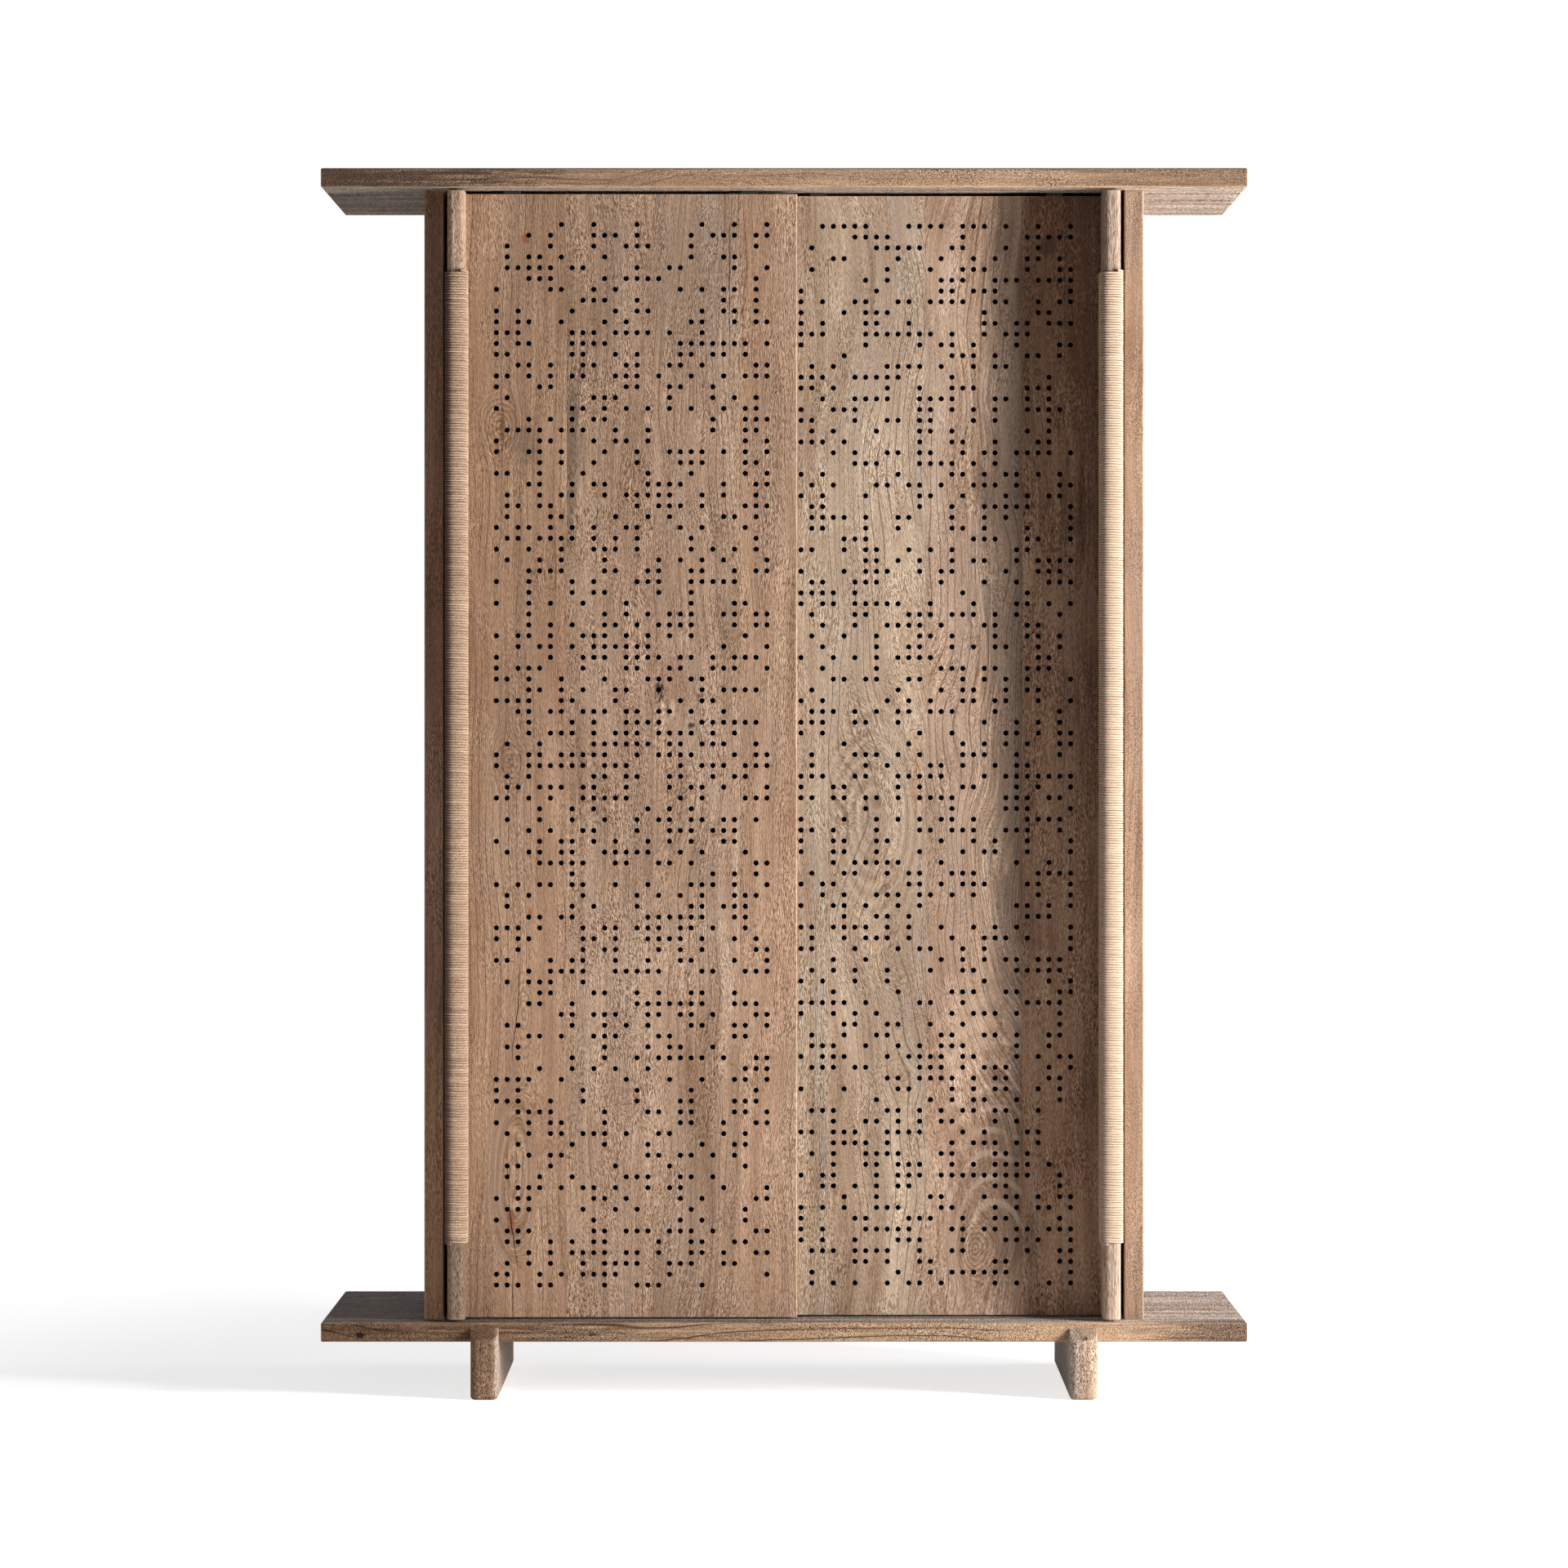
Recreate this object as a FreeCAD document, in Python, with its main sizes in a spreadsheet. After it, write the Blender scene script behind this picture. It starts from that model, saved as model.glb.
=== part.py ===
import FreeCAD, Part
import math
import os
import random
import Sketcher

# A cupboard with two pierced sliding doors, seen from the front along +Y.
# X runs to the right, Y to the back, Z up. The origin is the middle of the floor under its outline.

drivingSizes = {
    # carcass
    "overall_width": 1430,
    "overall_height": 1900,
    "board_depth": 450,
    "board_thickness": 30,
    "board_arris": 3,
    "board_overhang": 157,
    "side_thickness": 30,
    "side_setback": 42,
    "side_arris": 2,
    "housing_depth": 8,
    "partition_thickness": 25,
    "partition_clearance": 9,
    "back_thickness": 9,
    "shelf_thickness": 22,
    "shelf_setback": 5,
    "shelf_arris": 2,
    # feet
    "foot_height": 88,
    "foot_thickness": 43,
    "foot_inset": 231.5,
    "foot_lip_reach": 16,
    "foot_lip_rise": 22,
    "foot_lip_drop": 17,
    "foot_lip_round": 11,
    "foot_heel_round": 6,
    "foot_tongue_width": 14,
    "foot_tongue_height": 10,
    "foot_tongue_stop": 40,
    # door leaves
    "leaf_thickness": 25,
    "leaf_setback": 47,
    "leaf_spacing": 6,
    "leaf_headroom": 4,
    "leaf_side_gap": 7.5,
    "leaf_overlap": 41,
    "leaf_arris": 2,
    # piercing of the leaves
    "hole_pitch": 16.8,
    "hole_diameter": 8,
    "hole_margin_inner": 47,
    "hole_margin_outer": 73,
    "hole_margin_end": 48,
    # handles and their winding
    "handle_width": 27,
    "handle_setback": 4.5,
    "handle_round": 9.5,
    "handle_back_round": 3.5,
    "winding_foot_gap": 114.5,
    "winding_head_gap": 121.5,
    "cord_diameter": 3.4,
    "cord_gap": 0.5,
    "cord_seat_gap": 0.1,
    "cord_back_gap": 1.5,
    # screws
    "screw_diameter": 5,
    "screw_head_diameter": 10,
    "screw_head_height": 3,
    "screw_length": 50,
    # running gear
    "track_depth": 5.5,
    "track_wall": 1.5,
    "track_running_gap": 0.3,
    "wheel_diameter": 30,
    "wheel_width": 7,
    "wheel_side_gap": 1,
    "wheel_headroom": 1,
    "axle_diameter": 4,
    "axle_running_gap": 0.05,
    "carrier_cheek": 2,
    "carrier_end": 11,
    "carrier_cap": 4.2,
    "carrier_inset_outer": 99,
    "carrier_inset_inner": 58,
    "guide_length": 26,
    "guide_width": 8,
    "guide_stem": 14,
    "guide_rise": 8,
    "guide_side_gap": 0.5,
    "guide_headroom": 4,
    "guide_inset_outer": 99,
    "guide_inset_inner": 74,
    # one overrun for every cut
    "overrun": 1,
}

shelvesPerBay = 4
holeSides = 6
holeShare = 0.41
holeSeeds = {"left": 11, "right": 29}
drilledStep = 11
staveColumns = {"left": [3, 8, 8], "right": [3, 9, 9]}
screwSides = 8
axleSeatSides = 8
cordSides = 4
windingTurnsAtEnd = 3
gapSamplesPerRun = 8
edgeMatchShare = 0.01

doc = FreeCAD.newDocument("cupboard")
sheet = doc.addObject("Spreadsheet::Sheet", "sizes")
for row, (alias, number) in enumerate(drivingSizes.items(), start=1):
    sheet.set(f"A{row}", alias)
    sheet.set(f"B{row}", str(number))
    sheet.setAlias(f"B{row}", alias)
doc.recompute()


# A length that carries both its number and the sheet formula that it comes from
class Size:
    def __init__(self, text, value):
        self.text = text
        self.value = value

    def combined(self, sign, other, value):
        otherText = other.text if isinstance(other, Size) else str(other)
        return Size(f"({self.text} {sign} {otherText})", value)

    def __add__(self, other):
        return self.combined("+", other, self.value + number(other))

    def __sub__(self, other):
        return self.combined("-", other, self.value - number(other))

    def __mul__(self, factor):
        return self.combined("*", factor, self.value * factor)

    def __truediv__(self, divisor):
        return self.combined("/", divisor, self.value / divisor)

    def __neg__(self):
        return Size(f"(-1 * {self.text})", -self.value)


def number(size):
    return size.value if isinstance(size, Size) else size


def size(alias):
    return Size(f"sizes.{alias}", float(sheet.get(alias)))


zero = Size("0", 0.0)
overrun = size("overrun")
nodes = {}


def keep(label, feature):
    feature.Label = label
    nodes[label] = feature
    return feature


# Sketches, pads, pockets and edge treatment

def originPart(body, role):
    return next(part for part in body.Origin.OriginFeatures if part.Role == role)


def sketchOn(body, plane, offset, name):
    sketch = body.newObject("Sketcher::SketchObject", name)
    sketch.AttachmentSupport = (originPart(body, plane), "")
    sketch.MapMode = "FlatFace"
    sketch.setExpression(".AttachmentOffset.Base.z", offset.text)
    return sketch


def pinPoint(sketch, edge, point, across, up):
    for kind, place in (("DistanceX", across), ("DistanceY", up)):
        index = sketch.addConstraint(Sketcher.Constraint(kind, -1, 1, edge, point, place.value))
        sketch.setExpression(f"Constraints[{index}]", place.text)


def outlineSketch(body, plane, offset, points, name):
    sketch = sketchOn(body, plane, offset, name)
    places = [FreeCAD.Vector(across.value, up.value, 0) for across, up in points]
    count = len(places)
    for index in range(count):
        sketch.addGeometry(Part.LineSegment(places[index], places[(index + 1) % count]), False)
    for index in range(count):
        sketch.addConstraint(Sketcher.Constraint("Coincident", index, 2, (index + 1) % count, 1))
    for index, (across, up) in enumerate(points):
        pinPoint(sketch, index, 1, across, up)
    return sketch


def around(middle, whole):
    return (middle - whole / 2, middle + whole / 2)


def rectangle(across, up):
    return [(across[0], up[0]), (across[1], up[0]), (across[1], up[1]), (across[0], up[1])]


# A regular outline drawn round a circle, so that a round pin just fits in it
def roundSeat(across, up, radius, sides):
    reach = radius / math.cos(math.pi / sides)
    turns = [math.pi * (2 * index + 1) / sides for index in range(sides)]
    return [(across + reach * math.cos(turn), up + reach * math.sin(turn)) for turn in turns]


def pad(body, sketch, length, name):
    feature = body.newObject("PartDesign::Pad", name)
    feature.Profile = sketch
    feature.setExpression("Length", length.text)
    doc.recompute()
    return feature


# A pocket runs from its sketch along the sketch's normal, as a pad does
def pocket(body, sketch, length, name):
    before = body.Shape.Volume
    feature = body.newObject("PartDesign::Pocket", name)
    feature.Profile = sketch
    feature.Reversed = True
    feature.setExpression("Length", length.text)
    doc.recompute()
    if not body.Shape.Volume < before:
        raise RuntimeError(f"{name} cuts nothing")
    return feature


# Numbers of a shape's edges that lie wholly at the given planes
def edgesAt(shape, x=None, y=None, z=None):
    found = []
    tolerance = overrun.value * edgeMatchShare
    for index, edge in enumerate(shape.Edges):
        box = edge.BoundBox
        spans = ((x, box.XMin, box.XMax), (y, box.YMin, box.YMax), (z, box.ZMin, box.ZMax))
        wanted = [(number(place), low, high) for place, low, high in spans if place is not None]
        if all(abs(low - at) < tolerance and abs(high - at) < tolerance for at, low, high in wanted):
            found.append(index)
    return found


def dress(body, feature, kind, lines, amount, name):
    dressed = body.newObject(f"PartDesign::{kind}", name)
    found = sorted({index for line in lines for index in edgesAt(feature.Shape, **line)})
    dressed.Base = (feature, [f"Edge{index + 1}" for index in found])
    dressed.setExpression("Radius" if kind == "Fillet" else "Size", amount.text)
    doc.recompute()
    return dressed


def newBody(label):
    return keep(label, doc.addObject("PartDesign::Body", label))


def slab(label, across, deep, high):
    body = newBody(label)
    base = outlineSketch(body, "XY_Plane", high[0], rectangle(across, deep), f"{label}_plan")
    return body, pad(body, base, high[1] - high[0], f"{label}_pad")


def primitive(kind, name, base, axis=FreeCAD.Vector(0, 0, 1), **bound):
    feature = doc.addObject(f"Part::{kind}", name)
    feature.Placement = FreeCAD.Placement(
        FreeCAD.Vector(0, 0, 0), FreeCAD.Rotation(FreeCAD.Vector(0, 0, 1), axis)
    )
    for letter, place in zip("xyz", base):
        feature.setExpression(f".Placement.Base.{letter}", place.text)
    for key, amount in bound.items():
        feature.setExpression(key, amount.text)
    return feature


def group(label, members):
    together = doc.addObject("Part::Compound", label)
    together.Links = members
    return keep(label, together)


# Planes of the whole cupboard

halfWidth = size("overall_width") / 2
lipReach = size("foot_lip_reach")
halfDepth = (size("board_depth") + lipReach) / 2
boardFront = -halfDepth + lipReach
boardBack = halfDepth
boardThickness = size("board_thickness")
floorUnder = size("foot_height")
floorTop = floorUnder + boardThickness
roofTop = size("overall_height")
roofUnder = roofTop - boardThickness
sideOuter = halfWidth - size("board_overhang")
sideInner = sideOuter - size("side_thickness")
sideFront = boardFront + size("side_setback")
housing = size("housing_depth")
halfPartition = size("partition_thickness") / 2
backFront = boardBack - size("back_thickness")

leafThickness = size("leaf_thickness")
leafBottom = floorTop + size("leaf_headroom")
leafTop = roofUnder - size("leaf_headroom")
leafOuter = sideInner - size("leaf_side_gap")
leafInner = size("leaf_overlap") / 2
leafWidth = leafOuter + leafInner
leafFronts = {
    "left": boardFront + size("leaf_setback"),
    "right": boardFront + size("leaf_setback") + leafThickness + size("leaf_spacing"),
}
leafBacks = {side: front + leafThickness for side, front in leafFronts.items()}
leafMiddles = {side: front + leafThickness / 2 for side, front in leafFronts.items()}
partitionFront = leafBacks["right"] + size("partition_clearance")
shelfFront = partitionFront + size("shelf_setback")
handleFront = boardFront + size("handle_setback")


# The left leaf is the front one, the right leaf the rear one. Each is laid out from its inner edge.
outward = {"left": -1, "right": 1}


def fromInnerEdge(side, distance):
    return (distance - leafInner) * outward[side]


def numberFromInnerEdge(side, distance):
    return (distance - number(leafInner)) * outward[side]


# Top and bottom boards: housings for the uprights, and grooves for the guides or tracks

def longBoard(label, high, inside, grooveWidth, grooveDepth):
    body, slabPad = slab(label, (-halfWidth, halfWidth), (boardFront, boardBack), high)
    rims = [{"y": boardFront}, {"y": boardBack}, {"x": -halfWidth}, {"x": halfWidth}]
    arrises = [dict(rim, z=level) for rim in rims for level in high]
    dress(body, slabPad, "Fillet", arrises, size("board_arris"), f"{label}_arrises")
    uprights = [(-sideOuter, -sideInner), (sideInner, sideOuter)]
    cuts = [(across, sideFront, boardBack + overrun, housing) for across in uprights]
    cuts.append(((-halfPartition, halfPartition), partitionFront, backFront, housing))
    for side in ("left", "right"):
        near = leafMiddles[side] - grooveWidth / 2
        cuts.append(((-sideInner, sideInner), near, near + grooveWidth, grooveDepth))
    for index, (across, near, far, depth) in enumerate(cuts):
        low = inside if inside is high[0] else high[1] - depth
        name = f"{label}_cut_{index}"
        plan = outlineSketch(body, "XY_Plane", low, rectangle(across, (near, far)), f"{name}_plan")
        pocket(body, plan, depth, name)
    return body


channelWidth = size("wheel_width") + size("wheel_side_gap") * 2
trackWidth = channelWidth + size("track_wall") * 2
trackHeight = size("track_depth") + size("track_wall")
guideGroove = size("guide_width") + size("guide_side_gap") * 2
grooveDepth = size("guide_rise") + size("guide_headroom")
longBoard("top_board", (roofUnder, roofTop), roofUnder, guideGroove, grooveDepth)
bottomBoard = longBoard("bottom_board", (floorUnder, floorTop), floorTop, trackWidth, trackHeight)


# Uprights: both sides and the partition, with stopped housings for the shelves

uprightHigh = (floorTop - housing, roofUnder + housing)
shelfThickness = size("shelf_thickness")
clearHeight = roofUnder - floorTop
bayHeight = (clearHeight - shelfThickness * shelvesPerBay) / (shelvesPerBay + 1)
shelfPitch = bayHeight + shelfThickness


def shelfHousings(body, faces):
    originals = []
    for index, across in enumerate(faces):
        name = f"{body.Name}_housing_{index}"
        outline = rectangle(across, (shelfFront, backFront))
        plan = outlineSketch(body, "XY_Plane", floorTop + bayHeight, outline, f"{name}_plan")
        originals.append(pocket(body, plan, shelfThickness, name))
    pattern = body.newObject("PartDesign::LinearPattern", f"{body.Name}_housings")
    pattern.Originals = originals
    pattern.Direction = (originPart(body, "Z_Axis"), [""])
    pattern.setExpression("Length", (shelfPitch * (shelvesPerBay - 1)).text)
    pattern.Occurrences = shelvesPerBay
    body.Tip = pattern
    doc.recompute()


def sidePanel(label, inner, outer, sign):
    across = sorted((inner, outer), key=number)
    body, upright = slab(label, across, (sideFront, boardBack), uprightHigh)
    fronts = [{"x": inner, "y": sideFront}, {"x": outer, "y": sideFront}]
    dress(body, upright, "Fillet", fronts, size("side_arris"), f"{label}_arrises")
    face = sorted((inner, inner + housing * sign), key=number)
    rebate = rectangle(face, (backFront, boardBack + overrun))
    plan = outlineSketch(body, "XY_Plane", floorTop, rebate, f"{label}_rebate_plan")
    pocket(body, plan, clearHeight, f"{label}_rebate")
    shelfHousings(body, [face])


sidePanel("side_left", -sideInner, -sideOuter, -1)
sidePanel("side_right", sideInner, sideOuter, 1)
partition, _ = slab(
    "centre_partition", (-halfPartition, halfPartition), (partitionFront, backFront), uprightHigh
)
partitionFaces = [(-halfPartition, -halfPartition + housing), (halfPartition - housing, halfPartition)]
shelfHousings(partition, partitionFaces)


# Shelves and back panels

bays = {
    "left": (-sideInner - housing, -halfPartition + housing),
    "right": (halfPartition - housing, sideInner + housing),
}
backs = {"left": (-sideInner - housing, zero), "right": (zero, sideInner + housing)}
for side in ("left", "right"):
    for level in range(shelvesPerBay):
        under = floorTop + bayHeight + shelfPitch * level
        high = (under, under + shelfThickness)
        label = f"shelf_{side}_{level + 1}"
        body, board = slab(label, bays[side], (shelfFront, backFront), high)
        fronts = [{"y": shelfFront, "z": edge} for edge in high]
        dress(body, board, "Chamfer", fronts, size("shelf_arris"), f"{label}_arrises")
    slab(f"back_panel_{side}", backs[side], (backFront, boardBack), (floorTop, roofUnder))


# Screws: a countersunk head on a plain shank, faceted because they repeat and hardly show

def screw(name, base, axis):
    shank = size("screw_diameter") / 2
    stations = (
        (zero, size("screw_head_diameter") / 2),
        (size("screw_head_height"), shank),
        (size("screw_length"), shank),
    )
    rings = []
    for index, (reach, radius) in enumerate(stations):
        place = [at + reach * step for at, step in zip(base, axis)]
        rings.append(primitive("RegularPolygon", f"{name}_ring_{index}", place, axis, Circumradius=radius))
        rings[-1].Polygon = screwSides
    body = doc.addObject("Part::Loft", name)
    body.Sections = rings
    body.Solid = True
    body.Ruled = True
    return body


def screwedInto(label, blank, screws):
    cut = doc.addObject("Part::Cut", label)
    cut.Base = blank
    cut.Tool = screws
    return keep(label, cut)


# Feet: planks on edge whose front lip stands up before the bottom board

footThickness = size("foot_thickness")
footOuter = halfWidth - size("foot_inset")
footMiddle = footOuter - footThickness / 2
lipTop = floorUnder + size("foot_lip_rise")
footProfile = [
    (boardBack, zero),
    (-halfDepth, zero),
    (-halfDepth, lipTop - size("foot_lip_drop")),
    (boardFront, lipTop),
    (boardFront, floorUnder),
    (boardBack, floorUnder),
]
tongueHeight = size("foot_tongue_height")
tongueStop = size("foot_tongue_stop")


# Each foot is let into the bottom board by a tongue that stops short of both ends
def foot(side, middle):
    label = f"foot_{side}"
    body = newBody(label)
    start = middle - footThickness / 2
    profile = outlineSketch(body, "YZ_Plane", start, footProfile, f"{label}_profile")
    plank = pad(body, profile, footThickness, f"{label}_plank")
    cheeks = [{"x": start, "y": -halfDepth}, {"x": start + footThickness, "y": -halfDepth}]
    lip = dress(body, plank, "Fillet", cheeks, size("foot_lip_round"), f"{label}_lip")
    dress(body, lip, "Fillet", [{"z": zero}], size("foot_heel_round"), f"{label}_heel")
    tongue = rectangle(
        around(middle, size("foot_tongue_width")), (boardFront + tongueStop, boardBack - tongueStop)
    )
    plan = outlineSketch(body, "XY_Plane", floorUnder, tongue, f"{label}_tongue_plan")
    pad(body, plan, tongueHeight, f"{label}_tongue")
    groove = outlineSketch(bottomBoard, "XY_Plane", floorUnder, tongue, f"{label}_groove_plan")
    pocket(bottomBoard, groove, tongueHeight, f"{label}_groove")


foot("left", -footMiddle)
foot("right", footMiddle)


# Tracks let into the bottom board

def track(label, middle):
    body = newBody(label)
    near = middle - trackWidth / 2
    far = near + trackWidth
    wall = size("track_wall")
    low = floorTop - trackHeight
    channel = [
        (near, low), (far, low), (far, floorTop), (far - wall, floorTop),
        (far - wall, low + wall), (near + wall, low + wall), (near + wall, floorTop), (near, floorTop),
    ]
    profile = outlineSketch(body, "YZ_Plane", -sideInner, channel, f"{label}_profile")
    pad(body, profile, sideInner * 2, f"{label}_pad")


track("track_front", leafMiddles["left"])
track("track_rear", leafMiddles["right"])


# Running gear of each leaf: two carriers with their axles and wheels below, two guides above

wheelRadius = size("wheel_diameter") / 2
axleRadius = size("axle_diameter") / 2
wheelCentre = floorTop - size("track_depth") + size("track_running_gap") + wheelRadius
slotLength = size("wheel_diameter") + size("wheel_headroom") * 2
slotTop = wheelCentre + wheelRadius + size("wheel_headroom")
carrierLength = slotLength + size("carrier_end") * 2
carrierWidth = channelWidth + size("carrier_cheek") * 2
carrierTop = slotTop + size("carrier_cap")


def along(side, insets):
    inner, outer = insets
    return {
        "inner": fromInnerEdge(side, inner),
        "outer": fromInnerEdge(side, leafWidth - outer),
    }


def carrier(name, centre, deep):
    body = doc.addObject("PartDesign::Body", name)
    plan = rectangle(around(centre, carrierLength), around(deep, carrierWidth))
    base = outlineSketch(body, "XY_Plane", leafBottom, plan, f"{name}_plan")
    pad(body, base, carrierTop - leafBottom, f"{name}_block")
    slotPlan = rectangle(around(centre, slotLength), around(deep, channelWidth))
    slot = outlineSketch(body, "XY_Plane", leafBottom - overrun, slotPlan, f"{name}_slot_plan")
    pocket(body, slot, slotTop - leafBottom + overrun, f"{name}_slot")
    far = deep + carrierWidth / 2 + overrun
    seat = roundSeat(centre, wheelCentre, axleRadius, axleSeatSides)
    hole = outlineSketch(body, "XZ_Plane", -far, seat, f"{name}_hole_plan")
    pocket(body, hole, carrierWidth + overrun * 2, f"{name}_hole")
    return body


def wheel(label, centre, deep):
    body = newBody(label)
    half = size("wheel_width") / 2
    bore = axleRadius + size("axle_running_gap")
    outline = rectangle((-half, half), (bore, wheelRadius))
    profile = outlineSketch(body, "YZ_Plane", zero, outline, f"{label}_profile")
    turned = body.newObject("PartDesign::Revolution", f"{label}_turned")
    turned.Profile = profile
    turned.ReferenceAxis = (profile, ["H_Axis"])
    turned.Angle = 360
    for letter, place in zip("xyz", (centre, deep, wheelCentre)):
        body.setExpression(f".Placement.Base.{letter}", place.text)
    doc.recompute()


def guide(name, centre, deep):
    body = doc.addObject("PartDesign::Body", name)
    plan = rectangle(around(centre, size("guide_length")), around(deep, size("guide_width")))
    low = leafTop - size("guide_stem")
    high = roofUnder + size("guide_rise")
    base = outlineSketch(body, "XY_Plane", low, plan, f"{name}_plan")
    block = pad(body, base, high - low, f"{name}_block")
    dress(body, block, "Chamfer", [{"z": high}], size("guide_side_gap") * 2, f"{name}_lead")
    return body


carriers, axles, guides = {}, {}, {}
for side in ("left", "right"):
    deep = leafMiddles[side]
    wheelPlaces = along(side, (size("carrier_inset_inner"), size("carrier_inset_outer")))
    guidePlaces = along(side, (size("guide_inset_inner"), size("guide_inset_outer")))
    carriers[side] = [carrier(f"carrier_{side}_{end}", x, deep) for end, x in wheelPlaces.items()]
    guides[side] = [guide(f"guide_{side}_{end}", x, deep) for end, x in guidePlaces.items()]
    axleStart = deep - carrierWidth / 2
    axles[side] = [
        primitive(
            "Cylinder", f"axle_{side}_{end}", (x, axleStart, wheelCentre), FreeCAD.Vector(0, 1, 0),
            Radius=axleRadius, Height=carrierWidth,
        )
        for end, x in wheelPlaces.items()
    ]
    for end, x in wheelPlaces.items():
        wheel(f"wheel_{side}_{end}", x, deep)
    group(f"carriers_{side}", carriers[side])
    group(f"axles_{side}", axles[side])
    group(f"top_guides_{side}", guides[side])
doc.recompute()


# Handles: battens as tall as the leaf, relieved at the back where the cord passes behind

handleWidth = size("handle_width")
reliefDepth = size("cord_seat_gap") + size("cord_diameter") + size("cord_back_gap")
windingLow = leafBottom + size("winding_foot_gap")
windingHigh = leafTop - size("winding_head_gap")
handleScrews = {}


def handle(side, across):
    deep = (handleFront, leafFronts[side])
    blank = doc.addObject("PartDesign::Body", f"handle_{side}_blank")
    base = outlineSketch(blank, "XY_Plane", leafBottom, rectangle(across, deep), f"handle_{side}_plan")
    batten = pad(blank, base, leafTop - leafBottom, f"handle_{side}_batten")
    noses = [{"x": edge, "y": handleFront} for edge in across]
    rounded = dress(blank, batten, "Fillet", noses, size("handle_round"), f"handle_{side}_nose")
    reliefFront = leafFronts[side] - reliefDepth
    reliefPlan = rectangle(
        (across[0] - overrun, across[1] + overrun), (reliefFront, leafFronts[side] + overrun)
    )
    plan = outlineSketch(blank, "XY_Plane", windingLow, reliefPlan, f"handle_{side}_relief_plan")
    relieved = pocket(blank, plan, windingHigh - windingLow, f"handle_{side}_relief")
    backs = [{"x": edge, "y": reliefFront} for edge in across]
    dress(blank, relieved, "Fillet", backs, size("handle_back_round"), f"handle_{side}_back")
    middle = across[0] + handleWidth / 2
    levels = (leafBottom + size("winding_foot_gap") / 2, leafTop - size("winding_head_gap") / 2)
    screws = [
        screw(f"handle_screw_{side}_{index}", (middle, leafBacks[side], level), FreeCAD.Vector(0, -1, 0))
        for index, level in enumerate(levels)
    ]
    handleScrews[side] = group(f"handle_screws_{side}", screws)
    screwedInto(f"handle_{side}", blank, handleScrews[side])


handleSpans = {
    "left": (-leafOuter, -leafOuter + handleWidth),
    "right": (leafOuter - handleWidth, leafOuter),
}
for side, across in handleSpans.items():
    handle(side, across)
doc.recompute()


# Leaves: pierced staves glued edge to edge. The holes lie on a square grid, some cells of which
# are left whole by a seeded draw, and the solids carry every few of them, each with few sides.

holePitch = number(size("hole_pitch"))
holeRadius = number(size("hole_diameter")) / 2
marginInner = number(size("hole_margin_inner"))
marginEnd = number(size("hole_margin_end"))
fieldWidth = number(leafWidth) - marginInner - number(size("hole_margin_outer"))
leafHeight = number(leafTop - leafBottom)
columns = int(fieldWidth / holePitch) + 1
rows = int((leafHeight - marginEnd * 2) / holePitch) + 1
firstRow = number(leafBottom) + (leafHeight - holePitch * (rows - 1)) / 2


def piercedCells(side):
    draw = random.Random(holeSeeds[side])
    cells = [(column, row) for row in range(rows) for column in range(columns)]
    return [cell for cell in cells if draw.random() < holeShare]


def holeWire(x, z, y):
    corners = []
    for index in range(holeSides + 1):
        turn = 2 * math.pi * index / holeSides
        corners.append(FreeCAD.Vector(x + holeRadius * math.cos(turn), y, z + holeRadius * math.sin(turn)))
    return Part.makePolygon(corners)


# The arrises of the leaf's own two sides are eased; where staves are glued they stay sharp
def easedStave(side, stave):
    sides = [numberFromInnerEdge(side, distance) for distance in (0, number(leafWidth))]
    faces = [leafFronts[side], leafBacks[side]]
    arrises = [index for x in sides for y in faces for index in edgesAt(stave, x=x, y=y)]
    if not arrises:
        return stave
    return stave.makeChamfer(number(size("leaf_arris")), [stave.Edges[index] for index in arrises])


def piercedStave(side, near, far, hollows):
    low, high = sorted(numberFromInnerEdge(side, distance) for distance in (near, far))
    front = number(leafFronts[side])
    bottom, top = number(leafBottom), number(leafTop)
    outline = Part.makePolygon([
        FreeCAD.Vector(x, front, z)
        for x, z in ((low, bottom), (high, bottom), (high, top), (low, top), (low, bottom))
    ])
    holes = []
    for column, row in piercedCells(side)[::drilledStep]:
        x = numberFromInnerEdge(side, marginInner + holePitch * column)
        if low < x < high:
            holes.append(holeWire(x, firstRow + holePitch * row, front))
    panel = Part.makeFace([outline] + holes, "Part::FaceMakerBullseye")
    stave = easedStave(side, panel.extrude(FreeCAD.Vector(0, number(leafThickness), 0)))
    for hollow in hollows:
        if hollow.BoundBox.intersect(stave.BoundBox):
            stave = stave.cut(hollow)
    return stave


def mortise(across, deep, high):
    corner = FreeCAD.Vector(number(across[0]), number(deep[0]), number(high[0]))
    extent = [number(pair[1] - pair[0]) for pair in (across, deep, high)]
    return Part.makeBox(*extent, corner)


def leafHollows(side):
    deep = leafMiddles[side]
    hollows = [fixing.Shape for fixing in handleScrews[side].Links]
    for x in along(side, (size("carrier_inset_inner"), size("carrier_inset_outer"))).values():
        high = (leafBottom, carrierTop)
        hollows.append(mortise(around(x, carrierLength), around(deep, carrierWidth), high))
    for x in along(side, (size("guide_inset_inner"), size("guide_inset_outer"))).values():
        high = (leafTop - size("guide_stem"), leafTop)
        hollows.append(mortise(around(x, size("guide_length")), around(deep, size("guide_width")), high))
    return hollows


for side, counts in staveColumns.items():
    joints = [0]
    for total in (sum(counts[:index + 1]) for index in range(len(counts))):
        joints.append(marginInner + holePitch * (total - 0.5))
    joints.append(number(leafWidth))
    hollows = leafHollows(side)
    for index, (near, far) in enumerate(zip(joints[:-1], joints[1:]), start=1):
        label = f"door_{side}_stave_{index}"
        stave = doc.addObject("Part::Feature", label)
        stave.Shape = piercedStave(side, near, far, hollows)
        keep(label, stave)


# Windings: cord round each handle, its first and last turns as one tube each over the batten, and
# the many close turns between them as a plain sleeve

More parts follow.
